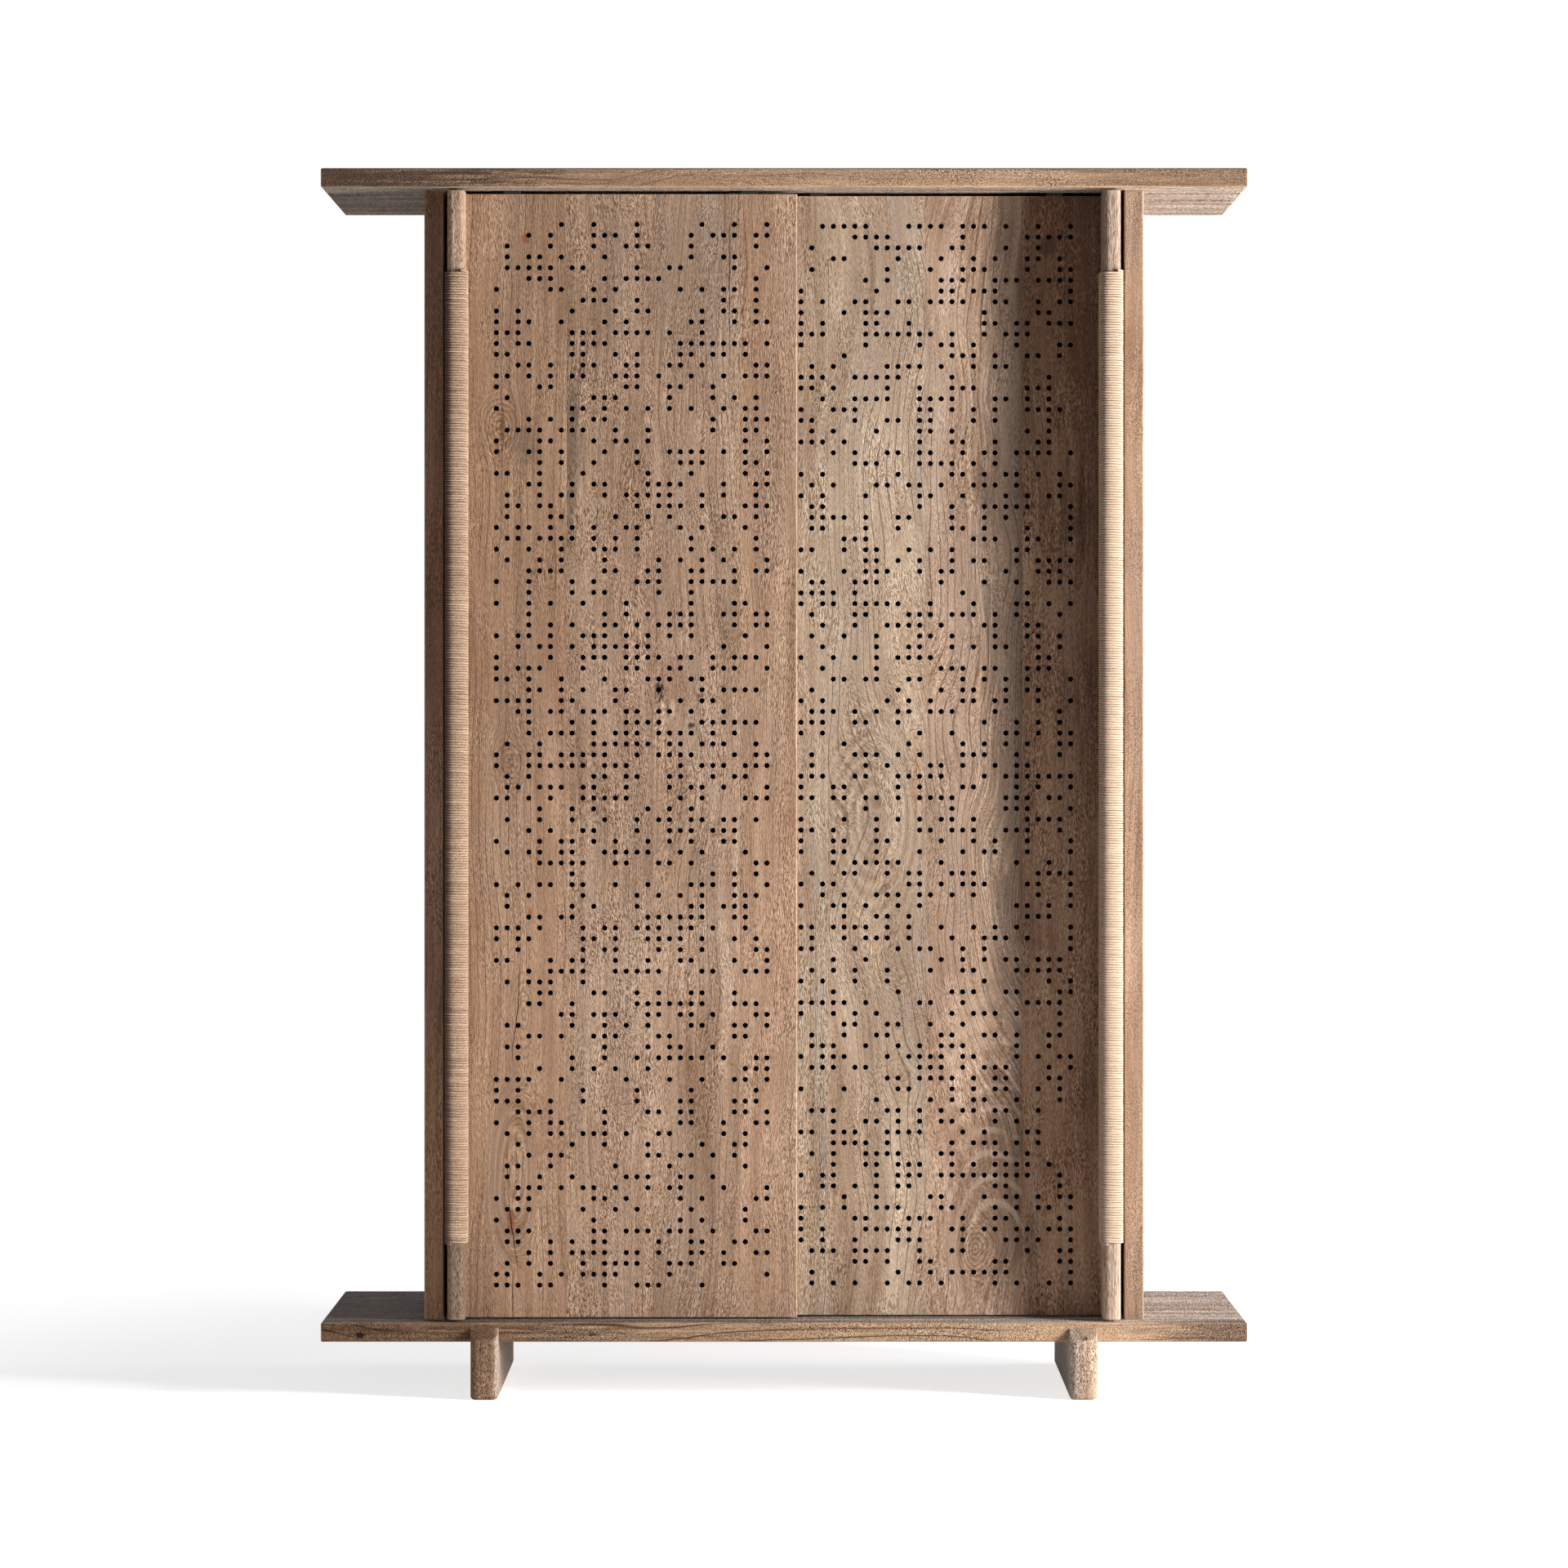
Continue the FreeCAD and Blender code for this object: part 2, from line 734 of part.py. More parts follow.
cordRadius = number(size("cord_diameter")) / 2
cordPitch = number(size("cord_diameter") + size("cord_gap"))
seatGap = number(size("cord_seat_gap"))


def rounded(corner, before, after, radius):
    back = (before - corner).normalize()
    on = (after - corner).normalize()
    half = back.getAngle(on) / 2
    middle = (back + on).normalize()
    first = corner + back * (radius / math.tan(half))
    last = corner + on * (radius / math.tan(half))
    crown = corner + middle * (radius / math.sin(half) - radius)
    return first, crown, last


def ring(side, offset):
    low, high = (number(edge) for edge in handleSpans[side])
    near = number(handleFront) - offset
    far = number(leafFronts[side] - reliefDepth) + offset
    frontRound = number(size("handle_round")) + offset
    backRound = number(size("handle_back_round")) + offset
    corners = [(high + offset, far), (high + offset, near), (low - offset, near), (low - offset, far)]
    return corners, [backRound, frontRound, frontRound, backRound]


def outlineAt(side, offset, z):
    corners, rounds = ring(side, offset)
    places = [FreeCAD.Vector(x, y, z) for x, y in corners]
    bends = []
    for index, corner in enumerate(places):
        before, after = places[index - 1], places[(index + 1) % len(places)]
        bends.append(rounded(corner, before, after, rounds[index]))
    edges = []
    for index, (first, crown, last) in enumerate(bends):
        edges.append(Part.Arc(first, crown, last).toShape())
        edges.append(Part.LineSegment(last, bends[(index + 1) % len(bends)][0]).toShape())
    return Part.Wire(edges)


def windingRoute(side, start, turns):
    offset = seatGap + cordRadius
    corners, rounds = ring(side, offset)
    middle = ((corners[0][0] + corners[3][0]) / 2, corners[0][1])
    flat = [middle] + corners * turns + [middle]
    radii = [None] + rounds * turns + [None]
    steps = [math.dist(flat[index], flat[index + 1]) for index in range(len(flat) - 1)]
    slope = cordPitch * turns / sum(steps)
    heights = [start + slope * sum(steps[:index]) for index in range(len(flat))]
    places = [FreeCAD.Vector(x, y, z) for (x, y), z in zip(flat, heights)]
    edges, here = [], places[0]
    for index in range(1, len(places) - 1):
        first, crown, last = rounded(places[index], places[index - 1], places[index + 1], radii[index])
        edges.append(Part.LineSegment(here, first).toShape())
        edges.append(Part.Arc(first, crown, last).toShape())
        here = last
    edges.append(Part.LineSegment(here, places[-1]).toShape())
    return Part.Wire(edges)


def cordSection(route):
    start = route.Edges[0].valueAt(route.Edges[0].FirstParameter)
    ahead = route.Edges[0].tangentAt(route.Edges[0].FirstParameter)
    backward = FreeCAD.Vector(0, 1, 0)
    upward = ahead.cross(backward).normalize()
    corners = []
    for index in range(cordSides + 1):
        turn = 2 * math.pi * (index + 0.5) / cordSides
        across = backward * math.cos(turn) + upward * math.sin(turn)
        corners.append(start + across * cordRadius)
    return Part.makePolygon(corners)


def leastGap(route):
    points = [point for edge in route.Edges for point in edge.discretize(gapSamplesPerRun)]
    turnPoints = len(points) // windingTurnsAtEnd
    gaps = []
    for index, point in enumerate(points):
        for other in points[index + turnPoints // 2:]:
            gaps.append(point.distanceToPoint(other))
    return min(gaps) - cordRadius * 2


def turnsAt(side, start):
    route = windingRoute(side, start, windingTurnsAtEnd)
    tube = route.makePipeShell([cordSection(route)], True, False)
    section = Part.Face(cordSection(route)).Area
    share = tube.Volume / (section * route.Length)
    gap = leastGap(route)
    print(f"winding_{side}: length {route.Length:.1f}, least gap {gap:.2f}, volume share {share:.3f}")
    return tube


def winding(side):
    low, high = number(windingLow), number(windingHigh)
    coiled = cordPitch * windingTurnsAtEnd
    inner = outlineAt(side, seatGap, low + coiled + cordPitch)
    outer = outlineAt(side, seatGap + cordRadius * 2, low + coiled + cordPitch)
    sleeve = Part.makeFace([outer, inner], "Part::FaceMakerBullseye")
    sleeve = sleeve.extrude(FreeCAD.Vector(0, 0, high - low - (coiled + cordPitch) * 2))
    lowTurns = turnsAt(side, low + cordRadius)
    highTurns = turnsAt(side, high - cordRadius - coiled)
    label = f"winding_{side}"
    feature = doc.addObject("Part::Feature", label)
    feature.Shape = Part.makeCompound([lowTurns, sleeve, highTurns])
    keep(label, feature)


winding("left")
winding("right")


# Checks and files

doc.recompute()
for feature in doc.Objects:
    if "Invalid" in feature.State or "Error" in feature.State:
        raise RuntimeError(f"{feature.Name} is {feature.State}")
for label, feature in nodes.items():
    if feature.Shape.isNull() or not feature.Shape.isValid():
        raise RuntimeError(f"{label} has no valid shape")
os.makedirs("parts", exist_ok=True)
for label, feature in nodes.items():
    feature.Shape.exportStep(f"parts/{label}.step")
    print(label, len(feature.Shape.Solids), f"{feature.Shape.Volume:.0f}")
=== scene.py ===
import math
import random

import bpy
from mathutils import Matrix, Vector


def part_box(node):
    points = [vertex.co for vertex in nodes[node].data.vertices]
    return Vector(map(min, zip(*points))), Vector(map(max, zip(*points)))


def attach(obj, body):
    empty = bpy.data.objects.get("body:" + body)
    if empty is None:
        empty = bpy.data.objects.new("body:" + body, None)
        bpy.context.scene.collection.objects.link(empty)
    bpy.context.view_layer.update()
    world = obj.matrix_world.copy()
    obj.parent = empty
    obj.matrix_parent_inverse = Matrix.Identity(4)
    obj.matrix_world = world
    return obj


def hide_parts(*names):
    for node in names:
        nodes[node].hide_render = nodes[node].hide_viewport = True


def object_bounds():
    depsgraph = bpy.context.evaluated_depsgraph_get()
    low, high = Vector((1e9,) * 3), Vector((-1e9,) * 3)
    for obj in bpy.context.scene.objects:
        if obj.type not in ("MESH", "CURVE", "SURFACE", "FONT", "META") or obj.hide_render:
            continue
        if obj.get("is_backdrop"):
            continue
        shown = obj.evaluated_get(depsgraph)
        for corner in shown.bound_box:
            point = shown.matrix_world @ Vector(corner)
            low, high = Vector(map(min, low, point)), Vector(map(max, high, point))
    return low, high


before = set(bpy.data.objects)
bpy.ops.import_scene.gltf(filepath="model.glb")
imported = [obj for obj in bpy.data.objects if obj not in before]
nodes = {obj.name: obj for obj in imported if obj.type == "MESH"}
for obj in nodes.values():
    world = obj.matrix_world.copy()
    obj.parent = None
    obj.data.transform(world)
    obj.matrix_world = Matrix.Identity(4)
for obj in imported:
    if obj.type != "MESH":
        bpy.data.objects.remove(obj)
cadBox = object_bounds()
sides = {"left": -1, "right": 1}  # the way from the middle of the cupboard to that side
print("frame loaded")


# Camera, lights and floor

studio = {
    "cameraHeight": 1.045,
    "cameraDistance": 8.337,
    "lens": 120.8,
    "shiftUp": -0.0396,
    "floorWidth": 30,
    "floorTone": (0.88, 0.88, 0.88),
    "floorLift": 0.74,  # what the camera sees on top of the lit floor near the cupboard
    "floorNear": 0.9,  # up to here from the middle the floor shows shadow
    "floorFar": 1.9,  # from here on it is plain white
    "ambientTone": (0.93, 0.97, 1.0),
    "ambient": 0.052,
    "lamps": {
        # place, what it faces, width, height, power
        "key": ((3.35, -1.66, 1.05), (0.1, -0.2, 1.0), 0.55, 2.0, 258),
        "rightFill": ((3.2, 0.3, 1.0), (0.5, 0.0, 1.0), 1.6, 2.0, 62),
        "frontFill": ((-1.2, -5.5, 1.6), (0.0, 0.0, 1.0), 2.5, 2.5, 5),
        "lowFill": ((-1.3, -1.3, 0.12), (-0.55, 0.0, 1.9), 0.8, 0.8, 13),
    },
}


def setCamera():
    data = bpy.data.cameras.new("camera")
    data.sensor_width = 36
    data.lens = studio["lens"]
    data.shift_y = studio["shiftUp"]
    data.clip_end = 100
    camera = bpy.data.objects.new("camera", data)
    camera.location = (0, -studio["cameraDistance"], studio["cameraHeight"])
    camera.rotation_euler = (math.radians(90), 0, 0)
    bpy.context.scene.collection.objects.link(camera)
    bpy.context.scene.camera = camera


def setLamps():
    for name, (place, target, width, height, power) in studio["lamps"].items():
        data = bpy.data.lights.new(name, "AREA")
        data.shape = "RECTANGLE"
        data.size = width
        data.size_y = height
        data.energy = power
        lamp = bpy.data.objects.new(name, data)
        lamp.location = place
        facing = Vector(target) - Vector(place)
        lamp.rotation_euler = facing.to_track_quat("-Z", "Y").to_euler()
        bpy.context.scene.collection.objects.link(lamp)


# Shader sums written as plain expressions

class Wire:
    # one output socket of a node
    def __init__(self, board, socket):
        self.board = board
        self.socket = socket

    def __add__(self, other):
        return self.board.maths("ADD", self, other)

    def __radd__(self, other):
        return self.board.maths("ADD", other, self)

    def __sub__(self, other):
        return self.board.maths("SUBTRACT", self, other)

    def __rsub__(self, other):
        return self.board.maths("SUBTRACT", other, self)

    def __mul__(self, other):
        return self.board.maths("MULTIPLY", self, other)

    def __truediv__(self, other):
        return self.board.maths("DIVIDE", self, other)


class Board:
    # the nodes of a new material, or of the world
    def __init__(self, name, owner=None):
        self.owner = owner or bpy.data.materials.new(name)
        self.owner.use_nodes = True
        self.tree = self.owner.node_tree
        self.tree.nodes.clear()

    def add(self, kind, settings=None, values=None, output=0):
        node = self.tree.nodes.new(kind)
        for key, value in (settings or {}).items():
            if key == "stops":
                self.setStops(node.color_ramp, value)
            else:
                setattr(node, key, value)
        for key, value in (values or {}).items():
            if isinstance(value, Wire):
                self.tree.links.new(value.socket, node.inputs[key])
            else:
                node.inputs[key].default_value = value
        return Wire(self, node.outputs[output])

    def setStops(self, ramp, stops):
        while len(ramp.elements) < len(stops):
            ramp.elements.new(0.5)
        for element, (place, colour) in zip(ramp.elements, stops):
            element.position = place
            element.color = (*tone(colour), 1)

    def maths(self, operation, *terms):
        values = dict(enumerate(terms))
        return self.add("ShaderNodeMath", {"operation": operation}, values)

    def between(self, value, low, high):
        # 0 at low, 1 at high, smooth in between
        settings = {"interpolation_type": "SMOOTHSTEP"}
        values = {"Value": value, "From Min": low, "From Max": high}
        return self.add("ShaderNodeMapRange", settings, values)

    def wave(self, distance, spacing, shift):
        # from -1 to 1 and back once in every spacing
        return self.maths("SINE", distance * (6.28 / spacing) + shift)

    def mix(self, share, first, second, blend="MIX"):
        # each colour is a socket, or red, green and blue as picked on screen
        settings = {"data_type": "RGBA", "blend_type": blend}
        first, second = (
            item if isinstance(item, Wire) else (*tone(item), 1) for item in (first, second)
        )
        return self.add("ShaderNodeMix", settings, {0: share, 6: first, 7: second}, 2)

    def ramp(self, level, *stops):
        return self.add("ShaderNodeValToRGB", {"stops": stops}, {0: level})

    def place(self):
        return self.add("ShaderNodeTexCoord", output="Object")

    def split(self, vector):
        return [
            self.add("ShaderNodeSeparateXYZ", values={0: vector}, output=axis) for axis in range(3)
        ]

    def join(self, x, y, z):
        return self.add("ShaderNodeCombineXYZ", values={0: x, 1: y, 2: z})

    def noise(self, vector, detail, roughness, distortion=0.0):
        values = {"Vector": vector, "Scale": 1.0, "Detail": detail, "Roughness": roughness}
        values["Distortion"] = distortion
        return self.add("ShaderNodeTexNoise", values=values)

    def grain(self, scales, detail, roughness):
        # noise with this many steps in a metre along x, y and z
        axes = self.split(self.place())
        steps = [axis * scale for axis, scale in zip(axes, scales)]
        return self.noise(self.join(*steps), detail, roughness)

    def bump(self, height, depth):
        values = {"Strength": 1.0, "Distance": depth, "Height": height}
        return self.add("ShaderNodeBump", values=values)

    def finish(self, **values):
        # values are named as the sockets of Principled BSDF, with _ for a space
        named = {key.replace("_", " "): value for key, value in values.items()}
        return self.show(self.add("ShaderNodeBsdfPrincipled", values=named))

    def show(self, shader, kind="ShaderNodeOutputMaterial"):
        output = self.tree.nodes.new(kind)
        self.tree.links.new(shader.socket, output.inputs["Surface"])
        return self.owner


def tone(colour):
    # a colour picked on screen, 0 to 255, as the shader's linear numbers
    levels = [level / 255 for level in colour]
    return tuple(
        ((level + 0.055) / 1.055) ** 2.4 if level > 0.04 else level / 12.92 for level in levels
    )


def setWorld():
    board = Board("studio", bpy.data.worlds.new("studio"))
    rays = ("Camera", "Glossy", "Transmission")
    seen = [board.add("ShaderNodeLightPath", output=f"Is {ray} Ray") for ray in rays]
    shown = board.maths("MAXIMUM", board.maths("MAXIMUM", seen[0], seen[1]), seen[2])
    lit = {"Color": (*studio["ambientTone"], 1), "Strength": studio["ambient"]}
    ambient = board.add("ShaderNodeBackground", values=lit)
    backdrop = board.add("ShaderNodeBackground", values={"Color": (1, 1, 1, 1), "Strength": 1.0})
    mixed = board.add("ShaderNodeMixShader", values={0: shown, 1: ambient, 2: backdrop})
    bpy.context.scene.world = board.show(mixed, "ShaderNodeOutputWorld")


def deselect():
    for item in bpy.context.selected_objects:
        item.select_set(False)
    bpy.context.view_layer.objects.active = None


def work(item):
    # make this the one selected and active object
    deselect()
    item.select_set(True)
    bpy.context.view_layer.objects.active = item


def settle(item):
    # put the object's own place, turn and size into its mesh
    work(item)
    bpy.ops.object.transform_apply(location=True, rotation=True, scale=True)


def floorMaterial():
    # lit and shadowed near the cupboard, white further out, plain paper to all but the camera,
    # and seen through from below
    board = Board("paper_floor")
    x, y, _ = board.split(board.place())
    reach = board.maths("SQRT", x * x + y * y)
    away = board.between(reach, studio["floorNear"], studio["floorFar"])
    paper = board.add("ShaderNodeBsdfDiffuse", values={"Color": (*studio["floorTone"], 1)})
    glow = board.add("ShaderNodeEmission", values={"Strength": studio["floorLift"]})
    white = board.add("ShaderNodeEmission", values={"Strength": 1.0})
    near = board.add("ShaderNodeAddShader", values={0: paper, 1: glow})
    shown = board.add("ShaderNodeMixShader", values={0: away, 1: near, 2: white})
    seen = board.add("ShaderNodeLightPath", output="Is Camera Ray")
    above = board.add("ShaderNodeMixShader", values={0: seen, 1: paper, 2: shown})
    below = board.add("ShaderNodeNewGeometry", output="Backfacing")
    clear = board.add("ShaderNodeBsdfTransparent")
    return board.show(board.add("ShaderNodeMixShader", values={0: below, 1: above, 2: clear}))


def setFloor():
    deselect()
    bpy.ops.mesh.primitive_plane_add(size=studio["floorWidth"], location=(0, 0, 0))
    floor = bpy.context.object
    floor.name = "floor"
    floor.data.materials.append(floorMaterial())
    floor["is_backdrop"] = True


bpy.context.scene.view_settings.view_transform = "Standard"
setCamera()
setLamps()
setWorld()
setFloor()
print("studio ready")


# Wood

timber = {
    "dark": (116, 86, 62),
    "middle": (166, 134, 109),
    "pale": (196, 168, 143),
    "grey": (152, 134, 120),
    "pore": (78, 54, 38),
    "vein": (104, 76, 56),
    "knot": (92, 64, 46),
    "torn": (26, 17, 12),
    "line": (208, 184, 162),
    # the pale arris tone: partly wear, partly painted highlight where the edges catch the light
    "wearAndHighlight": (214, 186, 158),
    "scuffed": ((92, 73, 66), (255, 245, 243)),
    "sawn": ((106, 93, 84), (232, 219, 211)),
    "strokeDeep": 0.00045,  # how deep the brush has cut
    "strokeTone": 0.64,
    "strokeShares": (0.88, 1.06, 1.28),  # dark strokes are warmer, bright ones cooler, a painted sheen on the lit ones
    "fibreTone": 1.8,
    "streakTone": 0.9,
    "fineTone": 0.28,
    "veinTone": 0.75,
    "poreTone": 0.4,
    "knotTone": 0.8,
    "sawnTone": 0.8,
    "rimTone": 0.85,
    "veinSpacing": 0.0105,
    "ringSpacing": 0.0055,  # of the growth rings round a knot
    "knotPush": 0.7,  # how far a knot pushes the grain aside
    "core": 0.35,  # up to this share of its radius a mark or a swirl is at its strongest
    "ragged": 1.4,  # how uneven a mark's edge is
    "wornStroke": 0.7,  # how much fainter the strokes are at a worn arris
    "rough": 0.66,
    "swirlPull": 0.25,  # how far the grain follows a swirl
    "arrisBand": 0.0032,
    "lipRound": 0.011,  # of a foot's two front arrises
    "skin": 0.0001,  # a face this near to a board's own side belongs to it
    # how high each pattern stands, in strokes
    "heights": {
        "fibre": 0.7, "fine": 0.3, "pores": -0.25, "veins": -0.4, "knots": -0.6, "rings": -0.4,
        "scuffed": 2.4, "sawn": 1.6,
    },
    # size across and along the grain, detail, roughness, and for some where they start and end
    "patterns": {
        "bend": (0.26, 0.6, 2.0, 0.5),
        "streaks": (0.013, 0.4, 4.0, 0.6),
        "fine": (0.0036, 0.09, 3.0, 0.6),
        "blotch": (0.09, 0.26, 2.0, 0.55),
        "grey": (0.05, 0.4, 3.0, 0.6, 0.42, 0.68),
        "turn": (0.045, 0.06, 1.0, 0.5),
        "stroke": (0.0015, 0.0085, 2.0, 0.6, 0.38, 0.62),
        "fibre": (0.0008, 0.0060, 1.0, 0.5),
        "lively": (0.04, 0.11, 1.0, 0.5, 0.35, 0.65),
        "pores": (0.0009, 0.016, 1.0, 0.5, 0.62, 0.74),
        "veins": (0.05, 0.34, 2.0, 0.5, 0.42, 0.56),
        "torn": (0.003, 0.009, 2.0, 0.6, 0.53, 0.60),
        "swirl": (0.09, 0.13, 2.0, 0.6, 0.42, 0.58),
        "wander": (0.16, 0.2, 1.0, 0.5),
        "bands": (0.024, 0.5, 4.0, 0.65),
        "speckle": (0.010, 0.0036, 2.0, 0.6, 0.36, 0.64),
    },
}

# what one board has of its own, on top of these
plainLook = {
    "tint": (255, 255, 255),
    "lean": 0.06,  # how far the strokes lean off the grain
    "figure": 0.02,  # how far the grain wanders, in metres
    "contrast": 1.0,
    "level": 0.0,  # paler above 0
    "cloud": 0.5,
    "stroke": 1.0,
    "turned": 0.014,  # how much the strokes turn from place to place
    "short": 1.0,  # how long a stroke is
    "veins": 0.5,
    "greyShare": 0.3,
    # how pale the arrises are, partly wear and partly painted highlight
    "wearAndHighlight": 0.45,
    "sawn": 0.0,  # how rough the underside is left
    "scuffed": 0.0,  # how worn the upper side is
    "lip": None,  # the shade of a foot's sloping front end
    "gloss": 0.35,
    "knots": (),
    "swirls": (),  # where the growth lines run round a middle
    "marks": (),
}

# axes across, into and along the grain, as numbers of the object's own x, y and z
grains = {"x": (1, 2, 0), "z": (0, 1, 2)}


def spot(across, along, radius, **own):
    # where a knot, a swirl or a mark lies, how far it reaches, and what it has of its own
    return {"across": across, "along": along, "radius": radius, "stretch": 1.5, **own}


def mark(across, along, radius, tone, share, **own):
    # a ragged patch of this tone
    return spot(across, along, radius, tone=tone, share=share, **own)


def shade(across, along, radius, tone, stretch=1.0):
    # a patch that darkens the wood
    return mark(across, along, radius, tone, 1.0, stretch=stretch, blend="MULTIPLY")


class Wood(Board):
    # a board of wood, with its own box and its own look
    def __init__(self, name, grain, box, seed, look):
        super().__init__(name)
        self.look = {**plainLook, **look}
        self.box = box
        self.axes = self.split(self.place())
        self.across, self.into, self.along = (self.axes[axis] for axis in grains[grain])
        draw = random.Random(seed)
        self.shift = [draw.uniform(-40, 40) for _ in range(3)]

    def pattern(self, name, across=None, into=None, short=1.0, distortion=0.0):
        # one of timber's patterns, at these places across and into the board
        wide, long, detail, roughness, *edges = timber["patterns"][name]
        places = (across or self.across, into or self.into, self.along)
        sizes = (wide, wide, long * short)
        steps = [place / size + shift for place, size, shift in zip(places, sizes, self.shift)]
        level = self.noise(self.join(*steps), detail, roughness, distortion)
        return self.between(level, *edges) if edges else level

    def reach(self, middle, across):
        # how far across lies to the side of this spot's middle, and how far from it in all
        dx = across - middle["across"]
        dz = (self.along - middle["along"]) / middle["stretch"]
        square = dx * dx + dz * dz + 1e-8
        if "into" in middle:
            dy = self.into - middle["into"]
            square = square + dy * dy
        return dx, self.maths("SQRT", square)

    def knots(self, drift, bend):
        # the grain pushed aside by the knots, their shade, growth rings and torn wood
        dark = rings = torn = 0.0
        for knot in self.look["knots"]:
            radius = knot["radius"]
            dx, reach = self.reach(knot, drift)
            inside = 1 - self.between(reach, 0.0, radius)
            around = 1 - self.between(reach, radius * 0.5, radius * 3.0)
            drift = drift - dx * around * timber["knotPush"]
            wave = self.wave(reach, timber["ringSpacing"], bend * 20)
            rings = rings + around * self.between(wave, 0.2, 0.95) * knot["rings"]
            dark = dark + inside * knot["depth"]
            if "crack" in knot:
                torn = torn + inside * self.pattern("torn") * knot["crack"]
        return drift, dark, rings, torn

    def swirls(self, drift, bend):
        # the grain drawn round the swirls, and their pale and dark lines
        pale = dark = 0.0
        for swirl in self.look["swirls"]:
            reach = self.reach(swirl, self.across + bend * 0.05)[1]
            radius = swirl["radius"]
            fade = 1 - self.between(reach, radius * timber["core"], radius)
            drift = drift + (reach - drift) * fade * timber["swirlPull"]
            wave = self.wave(reach, swirl["spacing"], self.pattern("wander") * 12)
            line = fade * self.between(wave, 0.3, 1.0) * self.pattern("swirl")
            pale = pale + line * swirl["share"]
            dark = dark + fade * self.between(wave, -0.2, -1.0) * swirl["share"]
        return drift, pale, dark

    def nearArris(self):
        # 1 along the arrises of the box, 0 away from them: where two faces are near at once
        near = []
        for axis, low, high in zip(self.axes, *self.box):
            near.append(self.maths("MINIMUM", axis - low, high - axis))
        least = self.maths("MINIMUM", near[0], near[1])
        most = self.maths("MAXIMUM", near[0], near[1])
        second = self.maths("MAXIMUM", least, self.maths("MINIMUM", most, near[2]))
        return 1 - self.between(second, 0.0, timber["arrisBand"])

    def lip(self, colour):
        # the slope on top of a foot's front end, with a painted highlight along the arris at its
        # right, where the light falls
        facing = self.split(self.add("ShaderNodeNewGeometry", output="True Normal"))
        slope = self.between(facing[2], 0.5, 0.6) * self.between(facing[1], -0.5, -0.6)
        curve = timber["lipRound"]
        inner = self.maths("MAXIMUM", curve - (self.axes[1] - self.box[0][1]), 0.0)
        half = self.maths("SQRT", curve ** 2 - inner * inner) - curve
        right = self.box[1][0]
        rim = self.between(self.axes[0] - half, right - 0.0022, right - 0.0006)
        colour = self.mix(slope, colour, self.look["lip"], "MULTIPLY")
        return self.mix(slope * rim * timber["rimTone"], colour, timber["wearAndHighlight"])


